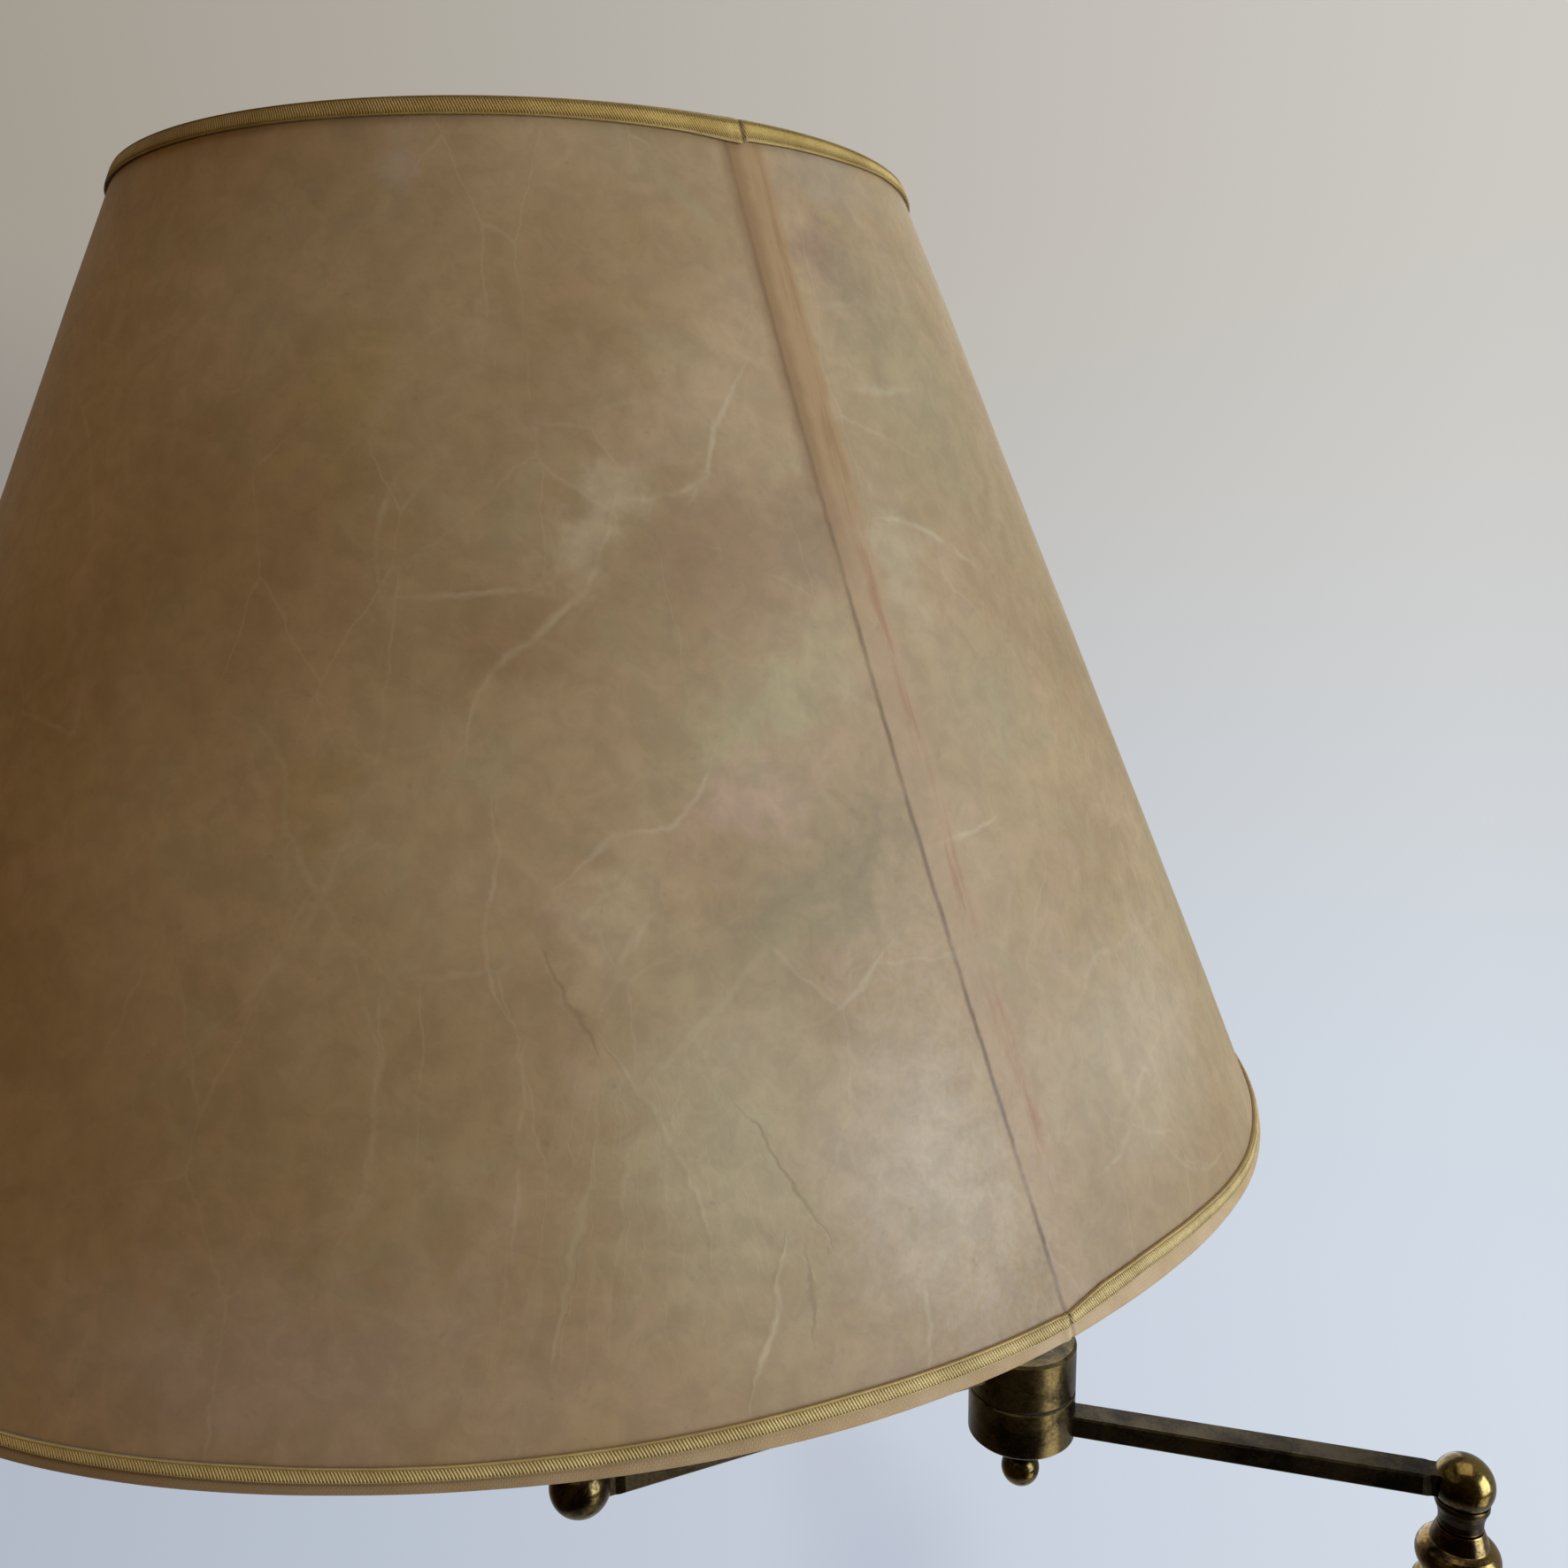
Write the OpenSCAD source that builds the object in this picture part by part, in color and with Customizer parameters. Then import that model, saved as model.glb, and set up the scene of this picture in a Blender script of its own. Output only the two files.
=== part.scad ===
// Bridge floor lamp: a weighted round base, a turned stem, two swinging arms and a leather shade.
// Origin: centre of the underside, on the floor. +Z is up and the lower arm points along -X.
// The stand holds the lower arm's swivel, the lower arm holds the elbow, and the upper arm
// holds the socket and the shade. Millimetres throughout.

/* [Arms] */
// Height of the lower arm's centre line above the floor
lower_arm_z = 1040; // [900:5:1200]
// Level distance from the stem's axis to the elbow's axis
lower_arm_len = 150; // [120:1:200]
// Level distance from the elbow's axis to the holder's axis
upper_arm_len = 168; // [130:1:220]
// Height of the upper arm's centre line above the lower one
arm_rise = 23; // [22:0.5:28]
// Bend of the elbow from straight at rest, in degrees
elbow_bend = 41; // [0:1:120]
// Width of an arm bar
bar_w = 10; // [8.5:0.5:11]
// Height of an arm bar
bar_h = 8; // [7.5:0.5:9]
// Wall of a hollow arm bar
bar_wall = 1; // [0.8:0.1:1.2]
// Bevel along the edges of an arm bar
bar_bevel = 0.6; // [0.2:0.1:0.8]
// Taper on each side of a bar where it enters its ball
bar_taper = 1; // [0.5:0.25:1.5]
// Radius of the ball at the outer end of each arm
ball_r = 10; // [9.75:0.25:12]

/* [Elbow] */
// Outer radius of the elbow drum
drum_r = 19.5; // [18:0.5:24]
// Wall of a drum half
drum_wall = 3.5; // [2.5:0.25:4]
// Depth of a drum half past its bar
drum_lip = 3; // [1.5:0.5:5]
// Floor of a drum half
drum_floor = 2.5; // [1.5:0.25:3]
// Thickness of the fibre washer between the drum halves
washer_t = 0.6; // [0.4:0.1:1]
// Radius of the elbow bolt's shank
bolt_r = 4; // [3.5:0.25:5]
// Radius of the elbow bolt's head
bolt_head_r = 7.5; // [7:0.25:10]
// Height of the elbow bolt's head
bolt_head_h = 3; // [2.5:0.25:4]
// Thickness of the spring washer under the head
spring_washer_t = 1; // [0.8:0.1:1.5]
// Radius of the elbow bolt's threaded end
bolt_thread_r = 3; // [2.5:0.25:3.25]
// Radius of the ball knob under the elbow
knob_r = 7; // [6.5:0.25:9]
// Drop from the drum to the centre of the ball knob
knob_drop = 15.5; // [14:0.5:20]

/* [Swivel] */
// Outer radius of the hollow tie rod
rod_r = 5; // [4.75:0.25:5.5]
// Bore radius of the hollow tie rod
rod_bore_r = 3.3; // [3:0.1:3.6]
// Depth of the ball's underside flat below its centre
ball_flat = 7.5; // [7:0.25:8]
// Depth of the swivel neck's lower end below the ball's centre
neck_end = 15.5; // [14:0.5:20]
// Radius of the swivel neck's cup under the ball
neck_cup_r = 8.8; // [8.5:0.1:9.5]
// Radius of the swivel neck at its waist
neck_r = 7.3; // [7:0.1:8]
// Radius of the grub screw that keeps the swivel on the rod
grub_r = 1; // [0.8:0.1:1.25]
// Depth of the rod's groove for the grub screw
groove_d = 0.8; // [0.6:0.1:1]

/* [Stem] */
// Radius of the bead under the swivel neck
bead_r = 13.8; // [12:0.2:16]
// Height of the bead
bead_h = 12.5; // [10:0.5:16]
// Height of the flared shoulder above the bead
shoulder_h = 5.3; // [4:0.1:8]
// Height of the turned capital under the bead
capital_h = 34; // [28:1:50]
// Outer radius of the stem tubes
tube_r = 9; // [8.5:0.25:11]
// Wall of the stem tubes
tube_wall = 1.2; // [1:0.1:1.6]
// Height of the joint between the two stem tubes
coupling_z = 545; // [400:5:700]
// Length of the coupling that shows between the tubes
coupling_h = 30; // [26:1:44]
// Length of the spigots inside the tubes
spigot_h = 10; // [6:1:20]

/* [Base] */
// Radius of the round base
base_r = 140; // [125:1:165]
// Height of the base at its middle
base_h = 46; // [42:1:60]
// Height of the base's upright edge
base_edge_h = 20; // [18:1:24]
// Wall of the spun base cover
cover_wall = 1.2; // [1:0.1:1.6]
// Thickness of the felt pad
felt_t = 2; // [1.5:0.25:3]
// Radius of the weight's thick middle
weight_r = 86; // [70:1:88]
// Height of the weight's thin rim
weight_rim_h = 11; // [10:0.5:12]
// Height of the weight's thick middle
weight_h = 25; // [24:1:26]
// Radius of the weight's central boss
boss_r = 20; // [18:1:24]
// Height of the turned foot on the base
foot_h = 40; // [30:1:60]
// Radius of the turned foot where it meets the base
foot_r = 22; // [19:0.5:28]

/* [Cord inlet] */
// Bore radius of the cord's inlet bush
inlet_r = 3.3; // [3:0.1:4]
// Outer radius of the inlet bush's barrel
inlet_barrel_r = 4.6; // [4.4:0.1:5]
// Outer radius of the inlet bush's flange
inlet_flange_r = 6; // [5.6:0.1:6.4]
// Length of the inlet bush inside the cover
inlet_len = 8; // [6:0.5:10]
// Radius of the inner wire
wire_r = 2.5; // [2.2:0.1:2.6]

/* [Holder and socket] */
// Outer radius of the sleeve between the holder ball and the socket
sleeve_r = 6.6; // [6.4:0.1:8]
// Depth of the socket's underside below the shade's lower rim
socket_drop = 24; // [18:1:40]
// Height of the socket's cup
cup_h = 18; // [16:1:22]
// Outer radius of the socket's shell
shell_r = 20; // [19:0.25:22]
// Height of the socket's shell
shell_h = 38; // [36:1:44]
// Wall of the socket's cup and shell
shell_wall = 1; // [0.8:0.1:1.2]
// Inner radius of the lamp screw shell
screw_r = 13.4; // [13.3:0.05:13.6]
// Wall of the lamp screw shell
screw_wall = 0.5; // [0.4:0.05:0.6]
// Height of the porcelain insert's floor
insert_floor = 10; // [9:0.5:11]
// Radius of the switch knob
switch_r = 5.5; // [5:0.25:6]
// Length of the switch knob
switch_len = 12; // [10:0.5:16]
// Radius of the switch spindle
spindle_r = 2; // [1.5:0.1:2.5]

/* [Bulb] */
// Radius of the bulb's globe
bulb_r = 30; // [25:1:36]
// Height of the globe's centre above the bulb's cap
globe_rise = 48; // [44:1:60]
// Wall of the bulb's glass
glass_wall = 0.8; // [0.6:0.1:1]

/* [Shade] */
// Outer radius of the shade's lower rim
shade_bottom_r = 200; // [170:1:230]
// Outer radius of the shade's upper rim
shade_top_r = 102.5; // [90:0.5:130]
// Height of the shade
shade_h = 240; // [210:1:280]
// Height of the shade's lower rim above the lower arm
shade_lift = 170; // [150:1:200]
// Thickness of the leather
leather_t = 1.2; // [0.8:0.1:1.6]
// Thickness of the lining board
lining_t = 0.8; // [0.6:0.1:1.2]
// Thickness of the trim over the leather
trim_t = 1.6; // [1.2:0.1:2]
// Height of the lower trim
bottom_trim_h = 5.4; // [4.6:0.2:12]
// Height of the lower trim's gold braid
bottom_braid_h = 3; // [2:0.2:4.4]
// Height of the upper trim
top_trim_h = 4.8; // [4.4:0.2:8]
// Height of the upper trim's gold braid
top_braid_h = 3.8; // [2:0.2:4]
// Radius of the wire in the shade's rings
wire_ring_r = 2; // [1.6:0.1:2.4]
// Radius of the spokes that carry the shade
spoke_r = 1.5; // [1.2:0.1:2]
// Number of spokes that carry the shade
spokes = 3; // [3:1:6]
// Height of the spider's hub above the shade's lower rim
hub_rise = 14; // [8:1:20]
// Width of the spider's hub washer
hub_w = 6; // [5:0.5:8]
// Thickness of the spider's hub washer
hub_t = 1.6; // [1.2:0.1:2]
// Direction of the leather's lapped seam from the holder's axis, in degrees
seam_dir = -37; // [-60:1:0]
// Width of the leather's lapped seam at the lower rim
seam_w = 10; // [6:0.5:14]

/* [Hidden] */
$fn = 96;

// Clearances
run = 0.05;         // radial gap of a shaft that turns in its bore
slip = 0.1;         // radial gap of pieces that slip together
air = 0.3;          // gap between faces that move past each other
lay = 0.04;         // gap between sheets that lie on each other
eps = 1;            // how far a cut runs past the face that it opens

// Arm bars, balls and wire
bar_end_w = bar_w - 2 * bar_taper;
taper_len = 3;
ball_socket = 0.55 * ball_r;
wire_bend = 4;
wire_hole_r = wire_r + 0.4;
wire_tail = 3;
rod_top = wire_r + 1.2;
cavity_end = wire_r + 0.5;

// Elbow drum, measured from the seam between its halves
drum_half = arm_rise / 2 + bar_h / 2 + drum_lip;
seam_z = lower_arm_z + arm_rise / 2;
half_gap = (washer_t + air) / 2;
bar_seat = drum_r - drum_wall + 1;
drum_in_r = drum_r - drum_wall;
elbow_wire_r = (bolt_r + drum_in_r) / 2;
washer_in_r = drum_in_r + 0.4;
washer_out_r = drum_r - 0.8;
knob_neck_r = 0.72 * knob_r;
knob_waist_r = 0.55 * knob_r;
knob_flange_h = 2.4;
slot_w = 1.4;
slot_depth = 1.2;
drum_bevel = 1;
seam_bevel = 0.5;
wire_entry = 2;

// Stem stack, from the ball's centre down and from the floor up
bead_top = neck_end + air + shoulder_h;
capital_top = bead_top + bead_h;
capital_z = lower_arm_z - capital_top - capital_h;
foot_z = base_h;
tube_in_r = tube_r - tube_wall;
tube_z0 = foot_z + foot_h;
coupling_top = coupling_z + coupling_h;
rod_hole_r = rod_r + slip;
spigot_r = tube_in_r - slip;
grub_z = (neck_end + ball_flat) / 2 + 0.6;
groove_h = 2 * grub_r + 0.6;
grub_inset = 0.2;
cup_lip_h = 2;
cup_lip_t = 1;
turn_step = 0.6;

// Base
recess_r = boss_r + 4;
web_h = 5;
washer_h = 1.5;
nut_h = 5;
nut_af = 17;
rod_tail = 0.5;
recess_top = felt_t + weight_h - web_h;
rod_z0 = recess_top - washer_h - nut_h - rod_tail;
inlet_z = rod_z0 - wire_bend - slip;
channel_w = 2 * wire_r + 2.6;
cover_gap = 0.8;
cover_foot = 1;
flange_t = 2;
dome_edge_r = base_r - 4;
dome_steps = 20;
inlet_gap = 5;
weight_bevel = 2;
cover_round = 3;
washer_r = recess_r - 8;

// Socket, measured from its underside
holder_ball_z = lower_arm_z + arm_rise;
rim_z = lower_arm_z + shade_lift;
socket_z = rim_z - socket_drop;
shell_z = socket_z + cup_h;
hub_z = rim_z + hub_rise;
insert_r = shell_r - shell_wall - slip;
insert_z = shell_z + 2;
screw_z = insert_z + insert_floor;
screw_out_r = screw_r + screw_wall;
shell_top = shell_z + shell_h;
rod_end_z = socket_z + 8;
hub_in_r = shell_r + 0.4;
hub_out_r = hub_in_r + hub_w;
seat_h = 3;
clamp_h = 5;
contact_r = 5;
contact_h = 1.2;
collar_h = 5;
collar_swell = 2.4;
cup_wall_h = 8;
cup_floor = shell_wall + 1;
insert_inset = 1;
screw_inset = 3;
terminal_pocket = 3;
terminal_r = 2.2;
terminal_h = 4;
terminal_x = 8;
wire_end_z = insert_z - terminal_h - 1;
switch_z = socket_z + 11;
switch_dir = 30;
switch_body_len = 6;
switch_body_r = 4;
switch_face = shell_r + 1.5;
spindle_grip = 2;
knob_step = 0.7;

// Bulb, seated on the centre contact
cap_r = screw_r - 0.3;
cap_h = 26;
cap_wall = 0.4;
tip_r = 4.8;
cap_cone_h = 5;
cap_end_r = tip_r + 1.5;
tip_h = 2.3;
tip_face_r = 3.6;
tip_face_h = 1.3;
glass_neck_h = 12;
bulb_z = screw_z + contact_h + tip_h + air;
neck_glass_r = cap_r - cap_wall - slip;
glass_z = bulb_z + cap_h - 6;
globe_z = bulb_z + cap_h + globe_rise - 10;

// Shade, measured from its lower rim. Wall thicknesses are measured level.
slope = (shade_bottom_r - shade_top_r) / shade_h;
wall_t = leather_t + lining_t;
ring_gap = 0.2;
trim_edge = 0.2;
bottom_braid_z0 = bottom_trim_h - bottom_braid_h;
braid_t = trim_t / 2;
bind_t = trim_t - braid_t;
leather_bottom_r = shade_bottom_r - trim_t;
fold_w = 2 * (wire_ring_r + ring_gap);
fold_h = fold_w + 2 * bind_t;
bottom_ring_z = bind_t + fold_w / 2;

function shade_r(z) = shade_bottom_r - slope * z;
function arc(x, y, rx, ry, from, to, n) =
    [for (i = [0:n]) let (a = from + (to - from) * i / n) [x + rx * cos(a), y + ry * sin(a)]];

bottom_ring_r = shade_r(bottom_ring_z) - trim_t - wall_t - fold_w / 2;
top_ring_z = shade_h - bottom_ring_z;
top_ring_r = shade_r(top_ring_z) - trim_t - wall_t - fold_w / 2;
spoke_in_r = hub_out_r - 0.3;
spoke_fall = hub_rise + hub_t / 2 - bottom_ring_z;

// ---- Frames of the moving parts ----

// Origin at the stem ball's centre
module at_stem_ball() { translate([0, 0, lower_arm_z]) children(); }
// Origin on the elbow's axis at the seam of the drum
module at_elbow() { translate([-lower_arm_len, 0, seam_z]) children(); }
// Origin on the elbow's axis at the upper arm's height, with the arm along -X
module at_upper_arm() {
    translate([-lower_arm_len, 0, holder_ball_z]) rotate([0, 0, elbow_bend]) children();
}
// Origin on the holder's axis at floor height, with the upper arm along +X
module at_holder() {
    translate([-lower_arm_len, 0, 0]) rotate([0, 0, elbow_bend]) translate([-upper_arm_len, 0, 0])
        children();
}
// Origin on the holder's axis at the shade's lower rim, without the elbow's turn
module at_shade() { at_holder() rotate([0, 0, -elbow_bend]) translate([0, 0, rim_z]) children(); }

// ---- Shapes that repeat ----

module turned(points) { rotate_extrude() polygon(points); }
module ring(outer, inner, h) {
    difference() {
        cylinder(h = h, r = outer);
        translate([0, 0, -eps]) cylinder(h = h + 2 * eps, r = inner);
    }
}
// A cylinder of radius r along X, from x = from to x = to
module x_hole(r, from, to) {
    translate([from, 0, 0]) rotate([0, 90, 0]) cylinder(h = to - from, r = r);
}

// Section of a bar as a bevelled rectangle in Y and Z, drawn as X and Y
module bar_section(w, h, b) {
    polygon([[-w / 2 + b, -h / 2], [w / 2 - b, -h / 2], [w / 2, -h / 2 + b], [w / 2, h / 2 - b],
        [w / 2 - b, h / 2], [-w / 2 + b, h / 2], [-w / 2, h / 2 - b], [-w / 2, -h / 2 + b]]);
}
// The bar's outline from x = near_x (the ball's end) to x = far_x (the drum's end), both signed
module bar_body(near_x, far_x, side) {
    x0 = min(near_x, far_x);
    x1 = max(near_x, far_x);
    intersection() {
        translate([x0, 0, 0]) rotate([90, 0, 90]) linear_extrude(height = x1 - x0)
            bar_section(bar_w, bar_h, bar_bevel);
        translate([0, 0, -bar_h]) linear_extrude(height = 2 * bar_h)
            polygon([[near_x, -bar_end_w / 2], [near_x + side * ball_neck_x, -bar_end_w / 2],
                [near_x + side * (ball_neck_x + taper_len), -bar_w / 2], [far_x, -bar_w / 2],
                [far_x, bar_w / 2], [near_x + side * (ball_neck_x + taper_len), bar_w / 2],
                [near_x + side * ball_neck_x, bar_end_w / 2], [near_x, bar_end_w / 2]]);
    }
}
// How far the narrow end of a bar runs before it widens, past the ball's skin
ball_neck_x = ball_r - ball_socket + 0.5;

module hollow_bar(near_x, far_x, side) {
    color("#6b5a36") difference() {
        bar_body(near_x, far_x, side);
        translate([min(near_x, far_x) - eps, 0, 0]) rotate([90, 0, 90])
            linear_extrude(height = abs(far_x - near_x) + 2 * eps)
                square([bar_end_w - 2 * bar_wall, bar_h - 2 * bar_wall], center = true);
    }
}

// A ball with a flat and a bore on its underside, and a socket for a bar on its side (dir = -1 or 1)
module arm_ball(dir, bore_r) {
    difference() {
        sphere(r = ball_r);
        translate([-ball_r, -ball_r, -2 * ball_r]) cube([2 * ball_r, 2 * ball_r, 2 * ball_r - ball_flat]);
        translate([0, 0, -ball_r]) cylinder(h = ball_r + cavity_end, r = bore_r);
        bar_socket(dir);
        x_hole(wire_hole_r, dir < 0 ? -ball_socket - eps : 0, dir < 0 ? 0 : ball_socket + eps);
    }
}
module bar_socket(dir) {
    x0 = dir < 0 ? -2 * ball_r : ball_socket;
    intersection() {
        translate([x0, 0, 0]) rotate([90, 0, 90]) linear_extrude(height = 2 * ball_r - ball_socket)
            bar_section(bar_w, bar_h, bar_bevel);
        translate([x0, -bar_end_w / 2, -bar_h]) cube([2 * ball_r - ball_socket, bar_end_w, 2 * bar_h]);
    }
}

// Half of the elbow drum, open towards the seam at z = 0, with its floor at z = -drum_half
module drum_half_body(bar_dir, bore_r) {
    difference() {
        translate([0, 0, -drum_half]) turned([[0, 0], [drum_r - drum_bevel, 0], [drum_r, drum_bevel],
            [drum_r, drum_half - half_gap - seam_bevel], [drum_r - seam_bevel, drum_half - half_gap],
            [0, drum_half - half_gap]]);
        translate([0, 0, drum_floor - drum_half]) cylinder(h = drum_half, r = drum_in_r);
        translate([0, 0, -drum_half - eps]) cylinder(h = drum_floor + 2 * eps, r = bore_r);
        rotate([0, 0, bar_dir]) translate([0, 0, -arm_rise / 2]) {
            translate([bar_seat, 0, 0]) rotate([90, 0, 90]) linear_extrude(height = drum_r)
                bar_section(bar_w, bar_h, bar_bevel);
            x_hole(wire_hole_r, drum_in_r - wire_entry, bar_seat + eps);
        }
    }
}

// A wire that rises at x0 from z0, bends to level, runs to x1 and rises again to z1 (x1 < x0)
module arm_wire(x0, z0, x1, z1) {
    b = wire_bend;
    color("#2b2522") {
        translate([x0, 0, z0]) cylinder(h = -b - z0, r = wire_r);
        translate([x0 - b, 0, -b]) rotate([90, 0, 0]) rotate_extrude(angle = 90)
            translate([b, 0]) circle(r = wire_r);
        x_hole(wire_r, x1 + b, x0 - b);
        translate([x1 + b, 0, b]) rotate([90, 0, 0]) rotate([0, 0, 180]) rotate_extrude(angle = 90)
            translate([b, 0]) circle(r = wire_r);
        translate([x1, 0, b]) cylinder(h = z1 - b, r = wire_r);
    }
}

// Flat hexagonal nut with a plain bore
module hex_nut(af, bore_r, h) {
    difference() {
        cylinder(h = h, r = af / sqrt(3), $fn = 6);
        translate([0, 0, -eps]) cylinder(h = h + 2 * eps, r = bore_r);
    }
}

// ---- Stand ----

module base_felt() { color("#2f3a30") cylinder(h = felt_t, r = weight_out_r); }

weight_out_r = base_r - cover_wall - cover_gap;
function dome_z(r) = base_edge_h + (base_h - base_edge_h)
    * (1 - cos(180 * (dome_edge_r - r) / (dome_edge_r - foot_r))) / 2;

module base_weight() {
    color("#3a3a3c") difference() {
        translate([0, 0, felt_t]) turned([[0, 0], [weight_out_r, 0], [weight_out_r, weight_rim_h],
            [weight_r, weight_rim_h], [weight_r, weight_h - weight_bevel],
            [weight_r - weight_bevel, weight_h],
            [boss_r, weight_h], [boss_r, base_h - cover_wall - felt_t],
            [0, base_h - cover_wall - felt_t]]);
        translate([0, 0, felt_t - eps]) cylinder(h = recess_top - felt_t + eps, r = recess_r);
        cylinder(h = base_h, r = rod_hole_r);
        translate([0, -channel_w / 2, felt_t - eps])
            cube([base_r, channel_w, inlet_z - felt_t + eps + channel_w / 2]);
        translate([base_r - inlet_len - eps, -inlet_barrel_r - air, felt_t - eps])
            cube([inlet_len + 2 * eps, 2 * (inlet_barrel_r + air), weight_rim_h + 2 * eps]);
    }
}

module base_cover() {
    rs = [for (i = [0:dome_steps]) dome_edge_r + (foot_r - dome_edge_r) * i / dome_steps];
    color("#8a7440") difference() {
        turned(concat([[base_r - cover_wall, cover_foot], [base_r, cover_foot],
                [base_r, base_edge_h - cover_round]],
            arc(base_r - cover_round, base_edge_h - cover_round, cover_round, cover_round, 0, 90, 6),
            [for (r = rs) [r, dome_z(r)]],
            [[rod_hole_r, base_h], [rod_hole_r, base_h - cover_wall]],
            [for (i = [dome_steps:-1:0]) [rs[i], dome_z(rs[i]) - cover_wall]],
            [[base_r - cover_wall, base_edge_h - cover_round]]));
        translate([0, 0, inlet_z]) x_hole(inlet_barrel_r + slip, base_r - 3 * cover_wall, base_r + eps);
    }
}

module base_washer() {
    color("#9a9a98") translate([0, 0, recess_top - washer_h]) ring(washer_r, rod_hole_r, washer_h);
}
module base_nut() {
    color("#9a9a98") translate([0, 0, recess_top - washer_h - nut_h])
        hex_nut(nut_af, rod_hole_r, nut_h);
}

module cord_inlet_bush() {
    color("#1d1a18") translate([0, 0, inlet_z]) difference() {
        union() {
            x_hole(inlet_barrel_r, base_r - inlet_len, base_r + eps);
            x_hole(inlet_flange_r, base_r, base_r + flange_t);
        }
        x_hole(inlet_r, base_r - inlet_len - eps, base_r + flange_t + eps);
    }
}

module tie_rod() {
    groove_z = lower_arm_z - grub_z;
    color("#8c8a80") difference() {
        translate([0, 0, rod_z0]) cylinder(h = lower_arm_z - rod_top - rod_z0, r = rod_r);
        translate([0, 0, rod_z0 - eps]) cylinder(h = lower_arm_z, r = rod_bore_r);
        translate([0, 0, groove_z - groove_h / 2]) ring(rod_r + eps, rod_r - groove_d, groove_h);
    }
}

module stem_foot() {
    lip = 3;
    bead = 3.5;
    neck = tube_r + 3;
    top_r = tube_r + turn_step;
    cove_top = foot_h - 2 * bead - 2;
    color("#7d6838") translate([0, 0, foot_z]) difference() {
        union() {
            turned(concat([[0, 0], [foot_r, 0], [foot_r, lip]],
                arc(foot_r, cove_top, foot_r - neck, cove_top - lip, 270, 180, 10),
                arc(top_r, foot_h - bead - 1, bead + 1, bead, -75, 75, 8),
                [[top_r, foot_h], [0, foot_h]]));
            cylinder(h = foot_h + spigot_h, r = spigot_r);
        }
        translate([0, 0, -eps]) cylinder(h = foot_h + spigot_h + 2 * eps, r = rod_hole_r);
    }
}

module stem_lower_tube() {
    color("#8a7440") translate([0, 0, tube_z0]) ring(tube_r, tube_in_r, coupling_z - tube_z0);
}
module stem_upper_tube() {
    color("#8a7440") translate([0, 0, coupling_top]) ring(tube_r, tube_in_r, capital_z - coupling_top);
}

module stem_coupling() {
    bead = 2;
    bead_z = bead + 0.5;
    waist = tube_r + 2 * turn_step;
    swell = tube_r + 5;
    color("#7d6838") translate([0, 0, coupling_z]) difference() {
        union() {
            turned(concat([[0, 0], [waist, 0]],
                arc(waist - turn_step, bead_z, bead, bead, -70, 70, 6),
                arc(waist, coupling_h / 2, swell - waist, coupling_h / 2 - 3 * bead, -90, 90, 14),
                arc(waist - turn_step, coupling_h - bead_z, bead, bead, -70, 70, 6),
                [[waist, coupling_h], [0, coupling_h]]));
            translate([0, 0, -spigot_h]) cylinder(h = coupling_h + 2 * spigot_h, r = spigot_r);
        }
        translate([0, 0, -spigot_h - eps])
            cylinder(h = coupling_h + 2 * (spigot_h + eps), r = rod_hole_r);
    }
}

module stem_capital() {
    bead = 2.6;
    lip = tube_r + bead;
    lip_z = capital_h - 2.5 * bead;
    waist_z = 0.45 * capital_h;
    color("#7d6838") translate([0, 0, capital_z]) difference() {
        union() {
            turned(concat([[0, 0], [tube_r + turn_step, 0]],
                arc(tube_r + turn_step / 2, 1.2 * bead, bead, bead, -80, 80, 8),
                [[tube_r + turn_step, 2.4 * bead], [tube_r + turn_step / 2, waist_z],
                    [lip, lip_z - bead]],
                arc(lip, lip_z, bead, bead, -90, 90, 8),
                [[tube_r + turn_step, capital_h - bead], [tube_r + turn_step, capital_h],
                    [0, capital_h]]));
            translate([0, 0, -spigot_h]) cylinder(h = spigot_h + eps, r = spigot_r);
        }
        translate([0, 0, -spigot_h - eps])
            cylinder(h = capital_h + spigot_h + 2 * eps, r = rod_hole_r);
    }
}

module stem_bead() {
    color("#8a7440") translate([0, 0, lower_arm_z - capital_top]) difference() {
        turned(concat([[0, 0], [bead_r - bead_h / 2, 0]],
            arc(bead_r - bead_h / 2, bead_h / 2, bead_h / 2, bead_h / 2, -90, 70, 14),
            [[neck_r + 2 * turn_step, bead_h + shoulder_h * 0.55],
                [neck_r + turn_step / 3, bead_h + shoulder_h], [0, bead_h + shoulder_h]]));
        translate([0, 0, -eps]) cylinder(h = bead_h + shoulder_h + 2 * eps, r = rod_hole_r);
    }
}

module stem_wire() {
    x_end = base_r - inlet_len - inlet_gap;
    top = lower_arm_z - wire_bend - wire_tail - air;
    color("#2b2522") {
        translate([0, 0, inlet_z]) x_hole(wire_r, wire_bend, x_end);
        translate([wire_bend, 0, inlet_z + wire_bend]) rotate([90, 0, 0]) rotate([0, 0, 180])
            rotate_extrude(angle = 90) translate([wire_bend, 0]) circle(r = wire_r);
        translate([0, 0, inlet_z + wire_bend]) cylinder(h = top - inlet_z - wire_bend, r = wire_r);
    }
}

// ---- Lower arm ----

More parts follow.
